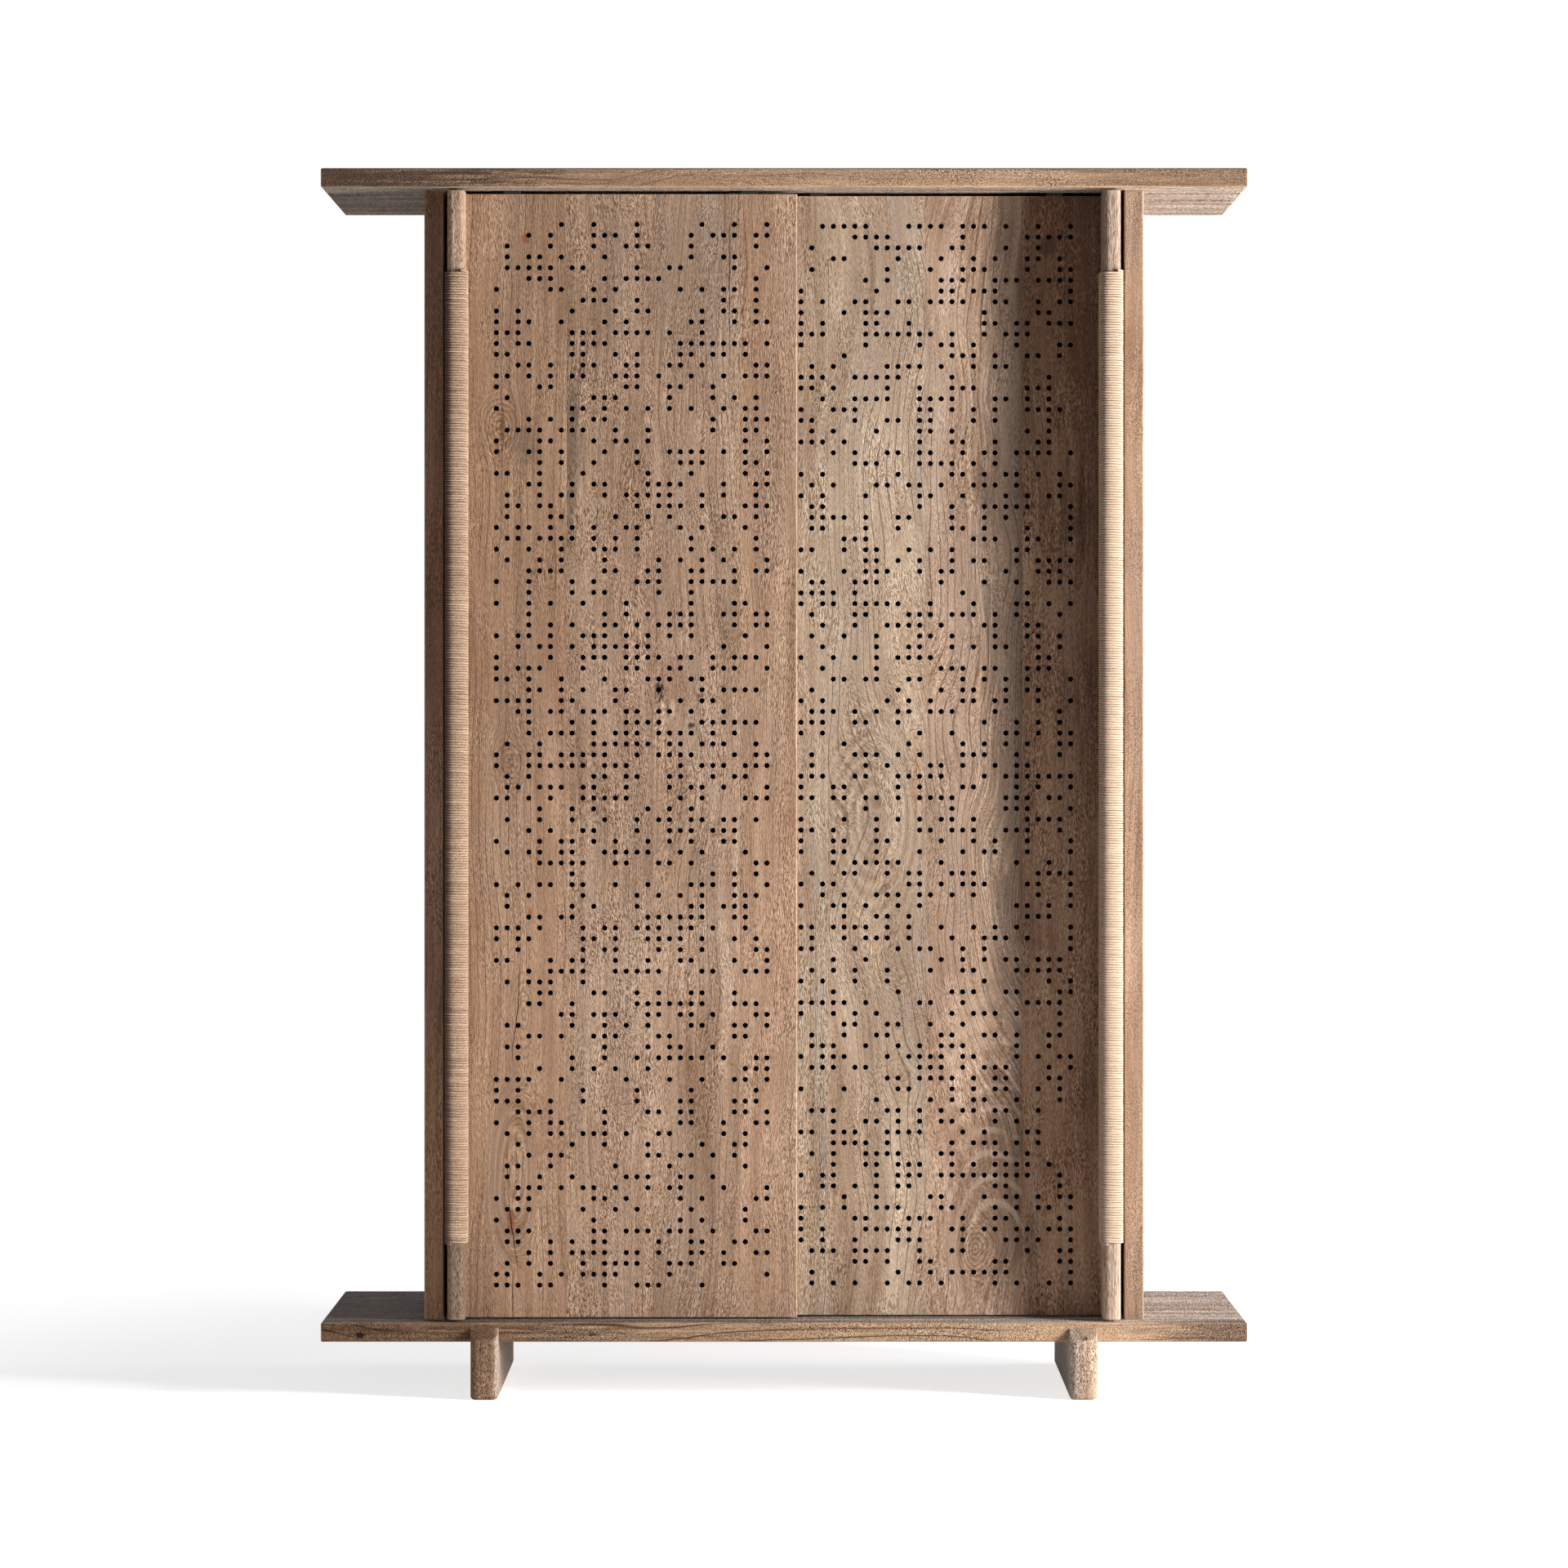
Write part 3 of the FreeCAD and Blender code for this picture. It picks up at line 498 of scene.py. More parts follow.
def woodMaterial(name, grain, box, seed, look):
    wood = Wood(name, grain, box, seed, look)
    look = wood.look
    heights = timber["heights"]
    between, pattern = wood.between, wood.pattern
    low, high = box[0][2], box[1][2]
    skin = timber["skin"]

    # where the grain runs, and the patterns that follow it
    bend = pattern("bend") - 0.5
    drift, knotShade, rings, torn = wood.knots(wood.across + bend * look["figure"] * 4, bend)
    drift, swirlPale, swirlDark = wood.swirls(drift, bend)
    streaks = pattern("streaks", drift)
    fine = pattern("fine", drift)
    pores = pattern("pores", drift)
    wave = wood.wave(drift + wood.into * 0.6, timber["veinSpacing"], bend * 9)
    veins = between(wave, 0.82, 1.0) * pattern("veins")
    # the brushed strokes, livelier in some places than in others
    turn = pattern("turn") - 0.5
    aslant = wood.along * look["lean"] + turn * look["turned"]
    slanted = (drift + aslant, wood.into + aslant, look["short"])
    stroke = pattern("stroke", *slanted, distortion=0.2)
    fibre = pattern("fibre", *slanted)
    lively = 0.5 + pattern("lively") * 0.75
    # what the saw and the years have left on a board's lower and upper side
    if look["scuffed"] or look["sawn"]:
        bands = pattern("bands", wood.across + turn * 0.03)
        speckle = pattern("speckle", wood.across + turn * 0.05)

    # the wood's own colour
    level = 0.5 + look["level"] + (pattern("blotch") - 0.5) * look["cloud"]
    uneven = (streaks - 0.5) * timber["streakTone"] + (fine - 0.5) * timber["fineTone"]
    level = level + uneven * look["contrast"]
    stops = (0.14, timber["dark"]), (0.5, timber["middle"]), (0.86, timber["pale"])
    colour = wood.ramp(level, *stops)
    colour = wood.mix(pattern("grey", drift) * look["greyShare"], colour, timber["grey"])
    colour = wood.mix(veins * look["veins"] * timber["veinTone"], colour, timber["vein"])
    # scuffs on the upper side; their pale flecks are partly painted highlights of the rough relief
    if look["scuffed"]:
        over = between(wood.axes[2], high - skin * 4, high - skin) * look["scuffed"]
        rub = between(bands, 0.34, 0.66) * 0.5 + speckle * 0.5
        colour = wood.mix(over, colour, wood.mix(rub, *timber["scuffed"]))
    for item in look["marks"]:
        radius = item["radius"]
        ragged = (fine - 0.5) * radius * timber["ragged"]
        reach = wood.reach(item, wood.across)[1] + ragged
        inside = 1 - between(reach, radius * timber["core"], radius)
        blend = item.get("blend", "MIX")
        colour = wood.mix(inside * item["share"], colour, item["tone"], blend)

    # strokes and pores, which fade out at the worn arrises
    nearArris = wood.nearArris()
    lively = lively * (1 - nearArris * timber["wornStroke"])
    # the strokes' light and dark in the colour: partly the brushed wood's tone, partly painted
    # light and shade of its relief
    brush = (stroke - 0.5) * timber["strokeTone"] + (fibre - 0.5) * timber["fibreTone"]
    brush = brush * lively * look["stroke"]
    brushed = wood.join(*(1 + brush * share for share in timber["strokeShares"]))
    colour = wood.mix(1.0, colour, brushed, "MULTIPLY")
    colour = wood.mix(pores * timber["poreTone"], colour, timber["pore"])
    height = stroke * lively + fibre * heights["fibre"] + fine * heights["fine"]
    height = height + pores * heights["pores"] + veins * heights["veins"]

    # what lies on top of them
    if look["knots"]:
        knotShade = between(knotShade, 0.0, 1.0)
        shown = knotShade * timber["knotTone"] + rings * timber["knotTone"]
        colour = wood.mix(shown, colour, timber["knot"])
        height = height + knotShade * heights["knots"] + rings * heights["rings"]
    if any("crack" in knot for knot in look["knots"]):
        colour = wood.mix(between(torn, 0.1, 0.6), colour, timber["torn"])
    if look["lip"]:
        colour = wood.lip(colour)
    if look["scuffed"]:
        height = height + over * rub * heights["scuffed"]
    if look["swirls"]:
        colour = wood.mix(swirlPale, colour, timber["line"])
        colour = wood.mix(swirlDark, colour, timber["vein"])
    # the sawn underside's pale flecks are partly painted highlights of the rough relief
    if look["sawn"]:
        under = 1 - between(wood.axes[2], low + skin, low + skin * 4)
        saw = between(bands, 0.32, 0.68) * 0.5 + speckle * 0.5
        patch = wood.mix(saw, *timber["sawn"])
        colour = wood.mix(under * look["sawn"] * timber["sawnTone"], colour, patch)
        height = height + under * look["sawn"] * saw * heights["sawn"]
    # pale arrises: partly wear, partly painted highlight where the edges catch the light
    nearArris = nearArris * between(fine, 0.25, 0.6)
    colour = wood.mix(nearArris * look["wearAndHighlight"], colour, timber["wearAndHighlight"])
    colour = wood.mix(1.0, colour, look["tint"], "MULTIPLY")

    return wood.finish(
        Base_Color=colour,
        Roughness=timber["rough"] - stroke * 0.12 + pores * 0.15,
        Normal=wood.bump(height, timber["strokeDeep"] * look["stroke"]),
        Specular_IOR_Level=look["gloss"],
    )


def paint(node, material):
    # give a carried-over node its finish
    item = nodes[node]
    item.data.materials.clear()
    item.data.materials.append(material)


def seedOf(first, side, number):
    # a seed of its own for each numbered board of a side
    return first + number + (10 if side == "left" else 20)


carcassWood = {
    "top_board": ("x", 3, {
        "lean": 0.45, "short": 0.3, "stroke": 1.9, "tint": (255, 247, 236), "sawn": 1.0,
        "level": 0.13,
        "marks": (
            # both darken towards the ends: partly the wood's own tone, partly painted shade where
            # the lamps' light falls off
            shade(-0.217, -0.86, 0.62, (142, 132, 128)),
            shade(-0.217, 0.86, 0.5, (202, 202, 202)),
        ),
    }),
    "bottom_board": ("x", 5, {
        "lean": 1.0, "stroke": 2.5, "short": 0.4, "sawn": 1.0, "scuffed": 0.8, "greyShare": 0.35,
        "veins": 1.3, "level": 0.33, "contrast": 1.9, "turned": 0.02, "tint": (255, 246, 232),
        "gloss": 0.1,
        "marks": (
            # the first and third darken the front towards its ends, partly the wood's tone and
            # partly painted shade where the light falls off; the second is painted shade over the
            # left of the upper side
            shade(-0.217, -0.9, 1.0, (163, 153, 147)),
            shade(0.06, -0.7, 0.3, (180, 150, 126)),
            shade(-0.217, 0.75, 0.06, (166, 162, 166), stretch=4.0),
            mark(-0.217, -0.654, 0.0065, (22, 13, 9), 0.95, into=0.0975),
            mark(-0.217, -0.295, 0.005, (44, 29, 20), 0.7, into=0.1),
        ),
    }),
    # the left side's darker tint is partly painted shade: its front edge lies in the left handle's
    # shadow
    "side_left": ("z", 7, {"lean": 0.05, "tint": (216, 197, 180)}),
    "side_right": ("z", 9, {"lean": 0.4, "tint": (230, 231, 232), "stroke": 0.75}),
    "centre_partition": ("z", 11, {}),
    "back_panel_left": ("z", 13, {"contrast": 0.7, "stroke": 0.5}),
    "back_panel_right": ("z", 15, {"contrast": 0.7, "stroke": 0.5}),
    "foot_left": ("z", 17, {
        "lean": 0.1, "short": 0.5, "stroke": 1.6, "veins": 0.2, "tint": (246, 235, 222),
        "cloud": 0.9, "contrast": 1.3, "level": -0.22, "lip": (226, 216, 208),
        "marks": (
            mark(-0.4654, 0.1, 0.004, (96, 70, 52), 0.6, into=-0.233),
            # a painted pale strip of light down the foot's inner side
            mark(-0.4405, 0.05, 0.009, (226, 218, 212), 0.55, stretch=40.0),
        ),
    }),
    "foot_right": ("z", 19, {
        "lean": 0.1, "short": 0.5, "stroke": 1.5, "veins": 0.2, "cloud": 0.9, "level": 0.32,
        "contrast": 1.3, "greyShare": 0.6, "lip": (228, 224, 218),
        "marks": (
            mark(0.4641, 0.099, 0.007, (60, 40, 28), 1.0, into=-0.233),
            # a painted pale strip of light down the foot's inner side
            mark(0.4405, 0.05, 0.009, (226, 218, 212), 0.35, stretch=40.0),
        ),
    }),
    "handle_left": ("z", 21, {
        "lean": 0.05, "figure": 0.004, "wearAndHighlight": 0.2, "short": 0.9, "level": 0.1, "greyShare": 0.5,
        "contrast": 1.3, "stroke": 1.2,
        # painted shade on the lower end of the handle
        "marks": (mark(-0.507, 0.15, 0.3, (112, 88, 70), 0.8, stretch=1.0),),
    }),
    "handle_right": ("z", 23, {
        "lean": -0.03, "figure": 0.004, "wearAndHighlight": 0.2, "short": 2.0, "level": 0.28,
        "greyShare": 0.6, "stroke": 0.8, "contrast": 1.3,
        # painted shade on the upper end, under the top board
        "marks": (mark(0.507, 1.86, 0.3, (130, 108, 92), 0.45, stretch=1.0),),
    }),
}


def finishCarcass():
    for node, (grain, seed, look) in carcassWood.items():
        paint(node, woodMaterial(node + "_wood", grain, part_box(node), seed, look))
    for side in sides:
        for level in range(1, 5):
            node = f"shelf_{side}_{level}"
            seed = seedOf(31, side, level)
            paint(node, woodMaterial(node + "_wood", "x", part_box(node), seed, {"stroke": 0.6}))
    print("carcass finished")


# Metal and plastic

# marks and clouds: steps in a metre along x, y and z, detail and roughness;
# uneven is how much the marks change the roughness, deep how far they go in
gear = {
    "brushed_steel": {
        "tones": ((150, 150, 150), (186, 184, 180)), "metallic": 1.0, "rough": 0.26,
        "marks": ((900, 900, 4000), 3.0, 0.6), "uneven": 0.2, "deep": 0.00003,
        "clouds": ((90, 90, 90), 3.0, 0.6),
    },
    "drawn_aluminium": {
        "tones": ((112, 108, 104), (168, 166, 162)), "metallic": 0.9, "rough": 0.34,
        "marks": ((25, 5000, 5000), 2.0, 0.5), "uneven": 0.2, "deep": 0.00004,
        "clouds": ((12, 300, 300), 3.0, 0.6),
    },
    "wheel_nylon": {
        "tones": ((38, 37, 36), (54, 52, 50)), "metallic": 0.0, "rough": 0.36,
        "marks": ((1800, 1800, 1800), 2.0, 0.5), "uneven": 0.12, "deep": 0.00003,
        "clouds": ((70, 70, 70), 2.0, 0.5),
    },
    "dark_plastic": {
        "tones": ((44, 43, 42), (66, 64, 62)), "metallic": 0.0, "rough": 0.42,
        "marks": ((1800, 1800, 1800), 2.0, 0.5), "uneven": 0.12, "deep": 0.00003,
        "clouds": ((70, 70, 70), 2.0, 0.5),
    },
}


def gearMaterial(name):
    board = Board(name)
    own = gear[name]
    marks = board.grain(*own["marks"])
    clouds = board.grain(*own["clouds"])
    return board.finish(
        Base_Color=board.mix(clouds, *own["tones"]),
        Metallic=own["metallic"],
        Roughness=own["rough"] + marks * own["uneven"],
        Normal=board.bump(marks, own["deep"]),
    )


def finishRunningGear():
    steel, track, nylon, dark = (gearMaterial(name) for name in gear)
    for node in ("track_front", "track_rear"):
        paint(node, track)
    for side in sides:
        paint(f"handle_screws_{side}", steel)
        paint(f"axles_{side}", steel)
        paint(f"carriers_{side}", dark)
        paint(f"top_guides_{side}", dark)
        for end in ("inner", "outer"):
            paint(f"wheel_{side}_{end}", nylon)
    print("running gear finished")


finishCarcass()
finishRunningGear()


# Pierced leaves

piercing = {
    "pitch": 0.0168,
    "diameter": 0.0083,
    "marginInner": 0.047,  # from the leaf's inner edge to the first column
    "columns": 26,
    "rows": 99,
    "share": 0.41,  # of the places that are drilled
    "seeds": {"left": 11, "right": 29},
    "holeSides": 18,
    "arris": (0.002, 3),  # width and steps, at the leaf's two sides
    "jointArris": (0.00035, 1),  # and where two staves meet
    "tall": 0.1,  # an edge taller than this runs up the stave
    "touching": 0.00001,  # two places nearer than this are the same one
    "overrun": 0.004,  # how far a tool reaches past what it cuts
    "crackDeep": 0.006,
    "crackSteps": 10,
    "crackRagged": 0.0006,
    "footDrop": 0.0008,  # the leaf's two ends stand this much lower than in the CAD
    "headDrop": 0.0020,
    "seatGap": 0.0003,  # round what is let into a leaf
    "screwHeadRadius": 0.0053,
    "screwHeadDeep": 0.0032,
    "screwRadius": 0.0027,
    "cutRim": 0.003,  # past this from a stave's ends and sides, what lies inside it is a cut
    # the hole walls are a darker, redder brown than the faces
    "wall": ((84, 44, 30), (124, 72, 48)),
    "wallGrain": ((300, 1500, 300), 3.0, 0.6),
    "wallRough": 0.85,
    "wallDeep": 0.0002,
}

# cracks and opened joints: x and z of each point along it, and how wide it is there
cracks = {
    "left": {
        4: [
            [
                (-0.4094, 0.670, 0.0004), (-0.4131, 0.599, 0.0016),
                (-0.4220, 0.534, 0.0008), (-0.4207, 0.505, 0.0003),
            ],
            [(-0.4309, 0.325, 0.0004), (-0.4233, 0.268, 0.0018), (-0.4131, 0.193, 0.0005)],
            [(-0.4220, 0.182, 0.0005), (-0.4207, 0.116, 0.0010)],
        ],
        3: [[(-0.2196, 0.225, 0.0003), (-0.2193, 0.150, 0.0010), (-0.2193, 0.116, 0.0010)]],
        2: [[(-0.0845, 1.825, 0.0004), (-0.0845, 1.720, 0.0013), (-0.0843, 1.575, 0.0004)]],
    },
    "right": {},
}

# from the middle of the cupboard outwards
staveLooks = {
    "left": [
        {"tint": (255, 249, 243), "figure": 0.03, "lean": -0.04},
        {
            "tint": (252, 251, 248), "lean": -0.1, "figure": 0.035, "turned": 0.018, "veins": 0.8,
            "cloud": 0.7,
            "knots": (spot(-0.19, 1.09, 0.018, depth=0.45, crack=1.0, rings=0.2),),
            "marks": (
                shade(-0.15, 1.74, 0.17, (230, 230, 230), stretch=1.5),
                mark(-0.177, 1.1, 0.05, (140, 104, 82), 0.5),
                mark(-0.1952, 1.099, 0.0065, (28, 18, 13), 1.0, stretch=2.0),
                mark(-0.188, 1.065, 0.006, (214, 190, 166), 0.7, stretch=4.0),
                mark(-0.174, 1.068, 0.006, (214, 190, 166), 0.7, stretch=3.5),
                mark(-0.181, 1.06, 0.004, (60, 42, 30), 0.8, stretch=5.0),
                mark(-0.131, 1.086, 0.007, (96, 60, 42), 0.8, stretch=0.7),
                mark(-0.144, 1.04, 0.008, (44, 30, 22), 0.95, stretch=0.5),
                mark(-0.189, 1.05, 0.018, (188, 158, 134), 0.6),
                mark(-0.1457, 1.0387, 0.004, (66, 46, 34), 0.8),
            ),
        },
        {
            "tint": (252, 251, 248), "lean": 0.13, "turned": 0.018, "stroke": 1.25, "cloud": 0.7,
            "marks": (mark(-0.333, 1.46, 0.026, (88, 68, 54), 0.6, stretch=8.0),),
        },
        {
            "tint": (246, 238, 228), "lean": 0.06, "stroke": 0.8, "veins": 0.85,
            "swirls": (spot(-0.4233, 0.345, 0.045, stretch=3.5, spacing=0.009, share=0.3),),
            "knots": (
                spot(-0.4423, 1.5025, 0.018, depth=0.25, rings=0.8),
                spot(-0.4283, 0.9842, 0.015, depth=0.3, rings=0.6),
                spot(-0.412, 0.59, 0.012, depth=0.2, rings=0.6, stretch=2.6),
            ),
            "marks": (
                mark(-0.4055, 1.4746, 0.03, (104, 84, 72), 0.5),
                mark(-0.402, 1.7965, 0.008, (150, 92, 48), 0.9),
                mark(-0.3941, 0.751, 0.005, (150, 92, 50), 0.8),
                mark(-0.424, 0.27, 0.008, (128, 66, 36), 0.7, stretch=3.5),
            ),
        },
    ],
    # the right leaf's first three staves are cooler and greyer: partly painted sheen on the lit
    # leaf
    "right": [
        {
            "tint": (244, 254, 255), "level": 0.05, "lean": -0.06, "veins": 0.6, "figure": 0.03,
            "cloud": 0.7, "greyShare": 0.45,
            "knots": (spot(0.0827, 1.494, 0.01, depth=0.15, rings=0.5),),
        },
        {
            "figure": 0.05, "lean": 0.12, "turned": 0.022, "veins": 0.9, "stroke": 0.85,
            "cloud": 0.9, "greyShare": 0.45, "level": 0.06, "tint": (248, 255, 255),
            "swirls": (spot(0.1425, 0.89, 0.115, stretch=2.2, spacing=0.011, share=0.25),),
            "knots": (spot(0.159, 0.49, 0.014, depth=0.4, rings=0.3),),
            "marks": (
                mark(0.2061, 0.95, 0.0024, (170, 112, 64), 0.85, stretch=36.0),
                mark(0.1425, 0.916, 0.01, (116, 80, 62), 0.6, stretch=1.0),
                mark(0.084, 0.189, 0.008, (104, 74, 58), 0.7),
                mark(0.1348, 0.189, 0.01, (122, 92, 74), 0.5),
            ),
        },
        {
            "figure": 0.055, "lean": -0.1, "turned": 0.02, "veins": 1.0, "cloud": 1.3,
            "greyShare": 0.4, "stroke": 0.8, "tint": (253, 254, 254),
            "swirls": (spot(0.33, 0.215, 0.3, stretch=1.9, spacing=0.019, share=0.24),),
            "knots": (spot(0.3091, 0.2232, 0.02, depth=0.35, rings=0.9),),
            "marks": (
                # a darker patch at the bottom: partly the stave's own tone, partly painted shade
                mark(0.35, 0.3, 0.11, (104, 78, 60), 0.6, stretch=2.4),
                # painted shadow: the broad edge of the right handle's shadow
                shade(0.371, 1.45, 0.1, (178, 176, 174), stretch=16.0),
            ),
        },
        {
            "tint": (233, 222, 214), "lean": -0.06, "cloud": 0.9, "stroke": 1.3,
            "marks": (
                mark(0.4096, 1.785, 0.016, (70, 48, 36), 0.7),
                # painted shade over the top of the stave
                shade(0.47, 1.8, 0.6, (212, 202, 192)),
                # painted shade in the margin beside the handle
                shade(0.5205, 1.3, 0.08, (216, 213, 210), stretch=20.0),
                mark(0.385, 0.25, 0.012, (84, 66, 50), 0.5, stretch=6.0),
            ),
        },
    ],
}


def block(name, low, high):
    deselect()
    middle = [(a + b) / 2 for a, b in zip(low, high)]
    bpy.ops.mesh.primitive_cube_add(size=1, location=middle)
    item = bpy.context.object
    item.name = name
    item.scale = [b - a for a, b in zip(low, high)]
    settle(item)
    return item


def rod(radius, front, back, x=0.0, z=0.0):
    # a drill or a screw's shape, lying from front to back
    deselect()
    bpy.ops.mesh.primitive_cylinder_add(
        vertices=piercing["holeSides"],
        radius=radius,
        depth=back - front,
        location=(x, (front + back) / 2, z),
        rotation=(math.radians(90), 0, 0),
    )
    item = bpy.context.object
    settle(item)
    return item


def selectEdges(item, wanted):
    # ends in edit mode, with the edges selected whose two ends pass the test
    work(item)
    bpy.ops.object.mode_set(mode="EDIT")
    bpy.ops.mesh.select_mode(type="EDGE")
    bpy.ops.mesh.select_all(action="DESELECT")
    bpy.ops.object.mode_set(mode="OBJECT")
    points = item.data.vertices
    for edge in item.data.edges:
        edge.select = wanted(*(points[end].co for end in edge.vertices))
    bpy.ops.object.mode_set(mode="EDIT")


def joined(items, name):
    deselect()
    for item in items:
        item.select_set(True)
    bpy.context.view_layer.objects.active = items[0]
    bpy.ops.object.join()
    items[0].name = name
    return items[0]


def cutAway(stave, tool):
    work(stave)
    modifier = stave.modifiers.new("cut", "BOOLEAN")
    modifier.operation = "DIFFERENCE"
    modifier.solver = "EXACT"
    modifier.object = tool
    bpy.ops.object.modifier_apply(modifier=modifier.name)
    bpy.data.objects.remove(tool)


def holePlaces(side, low, high):
    # middles of the holes whose column lies between low and high
    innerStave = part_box(f"door_{side}_stave_1")
    inner = innerStave[0 if side == "right" else 1][0]
    bottom, top = innerStave[0][2], innerStave[1][2]
    pitch = piercing["pitch"]
    first = bottom + ((top - bottom) - pitch * (piercing["rows"] - 1)) / 2
    draw = random.Random(piercing["seeds"][side])
    places = []
    for row in range(piercing["rows"]):
        for column in range(piercing["columns"]):
            kept = draw.random() < piercing["share"]
            x = inner + sides[side] * (piercing["marginInner"] + pitch * column)
            if kept and low < x < high:
                places.append((x, first + pitch * row))
    return places


def holeTools(places, front, back):
    overrun = piercing["overrun"]
    drill = rod(piercing["diameter"] / 2, front - overrun, back + overrun)
    copies = []
    for x, z in places:
        copy = bpy.data.objects.new("drill", drill.data.copy())
        copy.data.transform(Matrix.Translation((x, 0, z)))
        bpy.context.scene.collection.objects.link(copy)
        copies.append(copy)
    bpy.data.objects.remove(drill)
    return joined(copies, "drills")


def solidBoxes(node, axis):
    # the boxes of a node's two solids, which stand apart along this axis
    low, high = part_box(node)
    middle = (low[axis] + high[axis]) / 2
    points = [vertex.co for vertex in nodes[node].data.vertices]
    for first in (True, False):
        part = [point for point in points if (point[axis] < middle) == first]
        yield [[limit(point[each] for point in part) for each in range(3)] for limit in (min, max)]


def cutMortises(stave, side, left, right):
    # where the carriers and guides are let into the leaf's ends
    gap = piercing["seatGap"]
    for node, down in ((f"carriers_{side}", piercing["overrun"]), (f"top_guides_{side}", gap)):
        for low, high in solidBoxes(node, 0):
            if left < low[0] and high[0] < right:
                first = (low[0] - gap, low[1] - gap, low[2] - down)
                cutAway(stave, block("mortise", first, [place + gap for place in high]))


def cutScrewHoles(stave, side, left, right, back):
    # countersunk from behind
    for low, high in solidBoxes(f"handle_screws_{side}", 2):
        x, z = (low[0] + high[0]) / 2, (low[2] + high[2]) / 2
        if left < x < right:
            end = back + piercing["overrun"]
            head = back - piercing["screwHeadDeep"]
            cutAway(stave, rod(piercing["screwHeadRadius"], head, end, x, z))
            cutAway(stave, rod(piercing["screwRadius"], low[1], end, x, z))


def crackAt(points, spans, far):
    # x, z and width this far along a crack
    index = 0
    while index < len(spans) - 1 and far > spans[index]:
        far -= spans[index]
        index += 1
    share = min(1.0, far / spans[index])
    return [a + (b - a) * share for a, b in zip(points[index], points[index + 1])]


def crackTool(points, front):
    # a ragged sliver: a thin box cut up along its length, each ring of points moved to its place
    steps = piercing["crackSteps"]
    spans = [math.dist(first[:2], last[:2]) for first, last in zip(points, points[1:])]
    deselect()
    bpy.ops.mesh.primitive_cube_add(size=1, location=(0, 0, 0))
    sliver = bpy.context.object
    work(sliver)
    bpy.ops.object.mode_set(mode="EDIT")
    for step in range(1, steps):
        bpy.ops.mesh.select_all(action="SELECT")
        bpy.ops.mesh.bisect(plane_co=(0, 0, step / steps - 0.5), plane_no=(0, 0, 1))
    bpy.ops.object.mode_set(mode="OBJECT")
    draw = random.Random(len(points) + int(abs(points[0][0]) * 1e4))
    uneven = piercing["crackRagged"]
    ragged = [draw.uniform(-uneven, uneven) for _ in range(steps + 1)]
    for vertex in sliver.data.vertices:
        step = round((vertex.co.z + 0.5) * steps)
        x, z, width = crackAt(points, spans, sum(spans) * step / steps)
        vertex.co.x = x + ragged[step] + math.copysign(width / 2, vertex.co.x)
        vertex.co.z = z
        vertex.co.y = front + math.copysign(piercing["crackDeep"], vertex.co.y)
    bpy.ops.object.mode_set(mode="EDIT")
    bpy.ops.mesh.select_all(action="SELECT")
    bpy.ops.mesh.normals_make_consistent(inside=False)
    bpy.ops.object.mode_set(mode="OBJECT")
    return sliver


def easeArrises(stave, x, width, steps):
    # the two upright arrises at one side of a stave
    def upright(first, last):
        tall = abs(first.z - last.z) > piercing["tall"]
        return tall and abs(first.x - x) < piercing["touching"]

    selectEdges(stave, upright)
    bpy.ops.mesh.bevel(offset=width, segments=steps)
    bpy.ops.object.mode_set(mode="OBJECT")


def holeWallMaterial():
    board = Board("drilled_wood")
    wallMottle = board.grain(*piercing["wallGrain"])
    colour = board.mix(wallMottle, *piercing["wall"])
    normal = board.bump(wallMottle, piercing["wallDeep"])
    return board.finish(Base_Color=colour, Roughness=piercing["wallRough"], Normal=normal)


def shareFaces(stave, low, high):
    # the second material goes to the walls of holes and other cuts
    skin, edge = timber["skin"], piercing["cutRim"]
    for face in stave.data.polygons:
        middle = face.center
        inside = low[1] + skin < middle.y < high[1] - skin
        rim = min(middle.x - low[0], high[0] - middle.x, middle.z - low[2], high[2] - middle.z)
        face.material_index = 1 if inside and rim > edge else 0


def piercedStave(side, index, holeWall):
    node = f"door_{side}_stave_{index}"
    low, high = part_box(node)
    leaf = [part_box(f"door_{side}_stave_{end}") for end in (1, 4)]
    leafLow = [min(box[0][axis] for box in leaf) for axis in range(3)]
    leafHigh = [max(box[1][axis] for box in leaf) for axis in range(3)]
    foot, head = low[2] - piercing["footDrop"], high[2] - piercing["headDrop"]
    stave = block(f"stave_{side}_{index}", (*low[:2], foot), (*high[:2], head))
    for x in (low[0], high[0]):
        if min(x - leafLow[0], leafHigh[0] - x) < piercing["touching"]:
            easeArrises(stave, x, *piercing["arris"])
        else:
            easeArrises(stave, x, *piercing["jointArris"])
    cutMortises(stave, side, low[0], high[0])
    cutScrewHoles(stave, side, low[0], high[0], high[1])
    for points in cracks[side].get(index, ()):
        cutAway(stave, crackTool(points, low[1]))
    cutAway(stave, holeTools(holePlaces(side, low[0], high[0]), low[1], high[1]))
    look = staveLooks[side][index - 1]
    leafLow[2] -= timber["arrisBand"] * 3  # the leaf's bottom arris gets none of the pale band of wear and painted highlight
    seed = seedOf(60, side, index)
    stave.data.materials.clear()
    stave.data.materials.append(woodMaterial(node + "_wood", "z", (leafLow, leafHigh), seed, look))
    stave.data.materials.append(holeWall)
    shareFaces(stave, low, high)
    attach(stave, f"door_{side}")
    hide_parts(node)
    return stave


def makeLeaves():
    holeWall = holeWallMaterial()
    for side in sides:
        for index in range(1, 5):
            stave = piercedStave(side, index, holeWall)
            print(stave.name, len(stave.data.polygons), "faces")
    print("leaves made")


makeLeaves()


# Windings

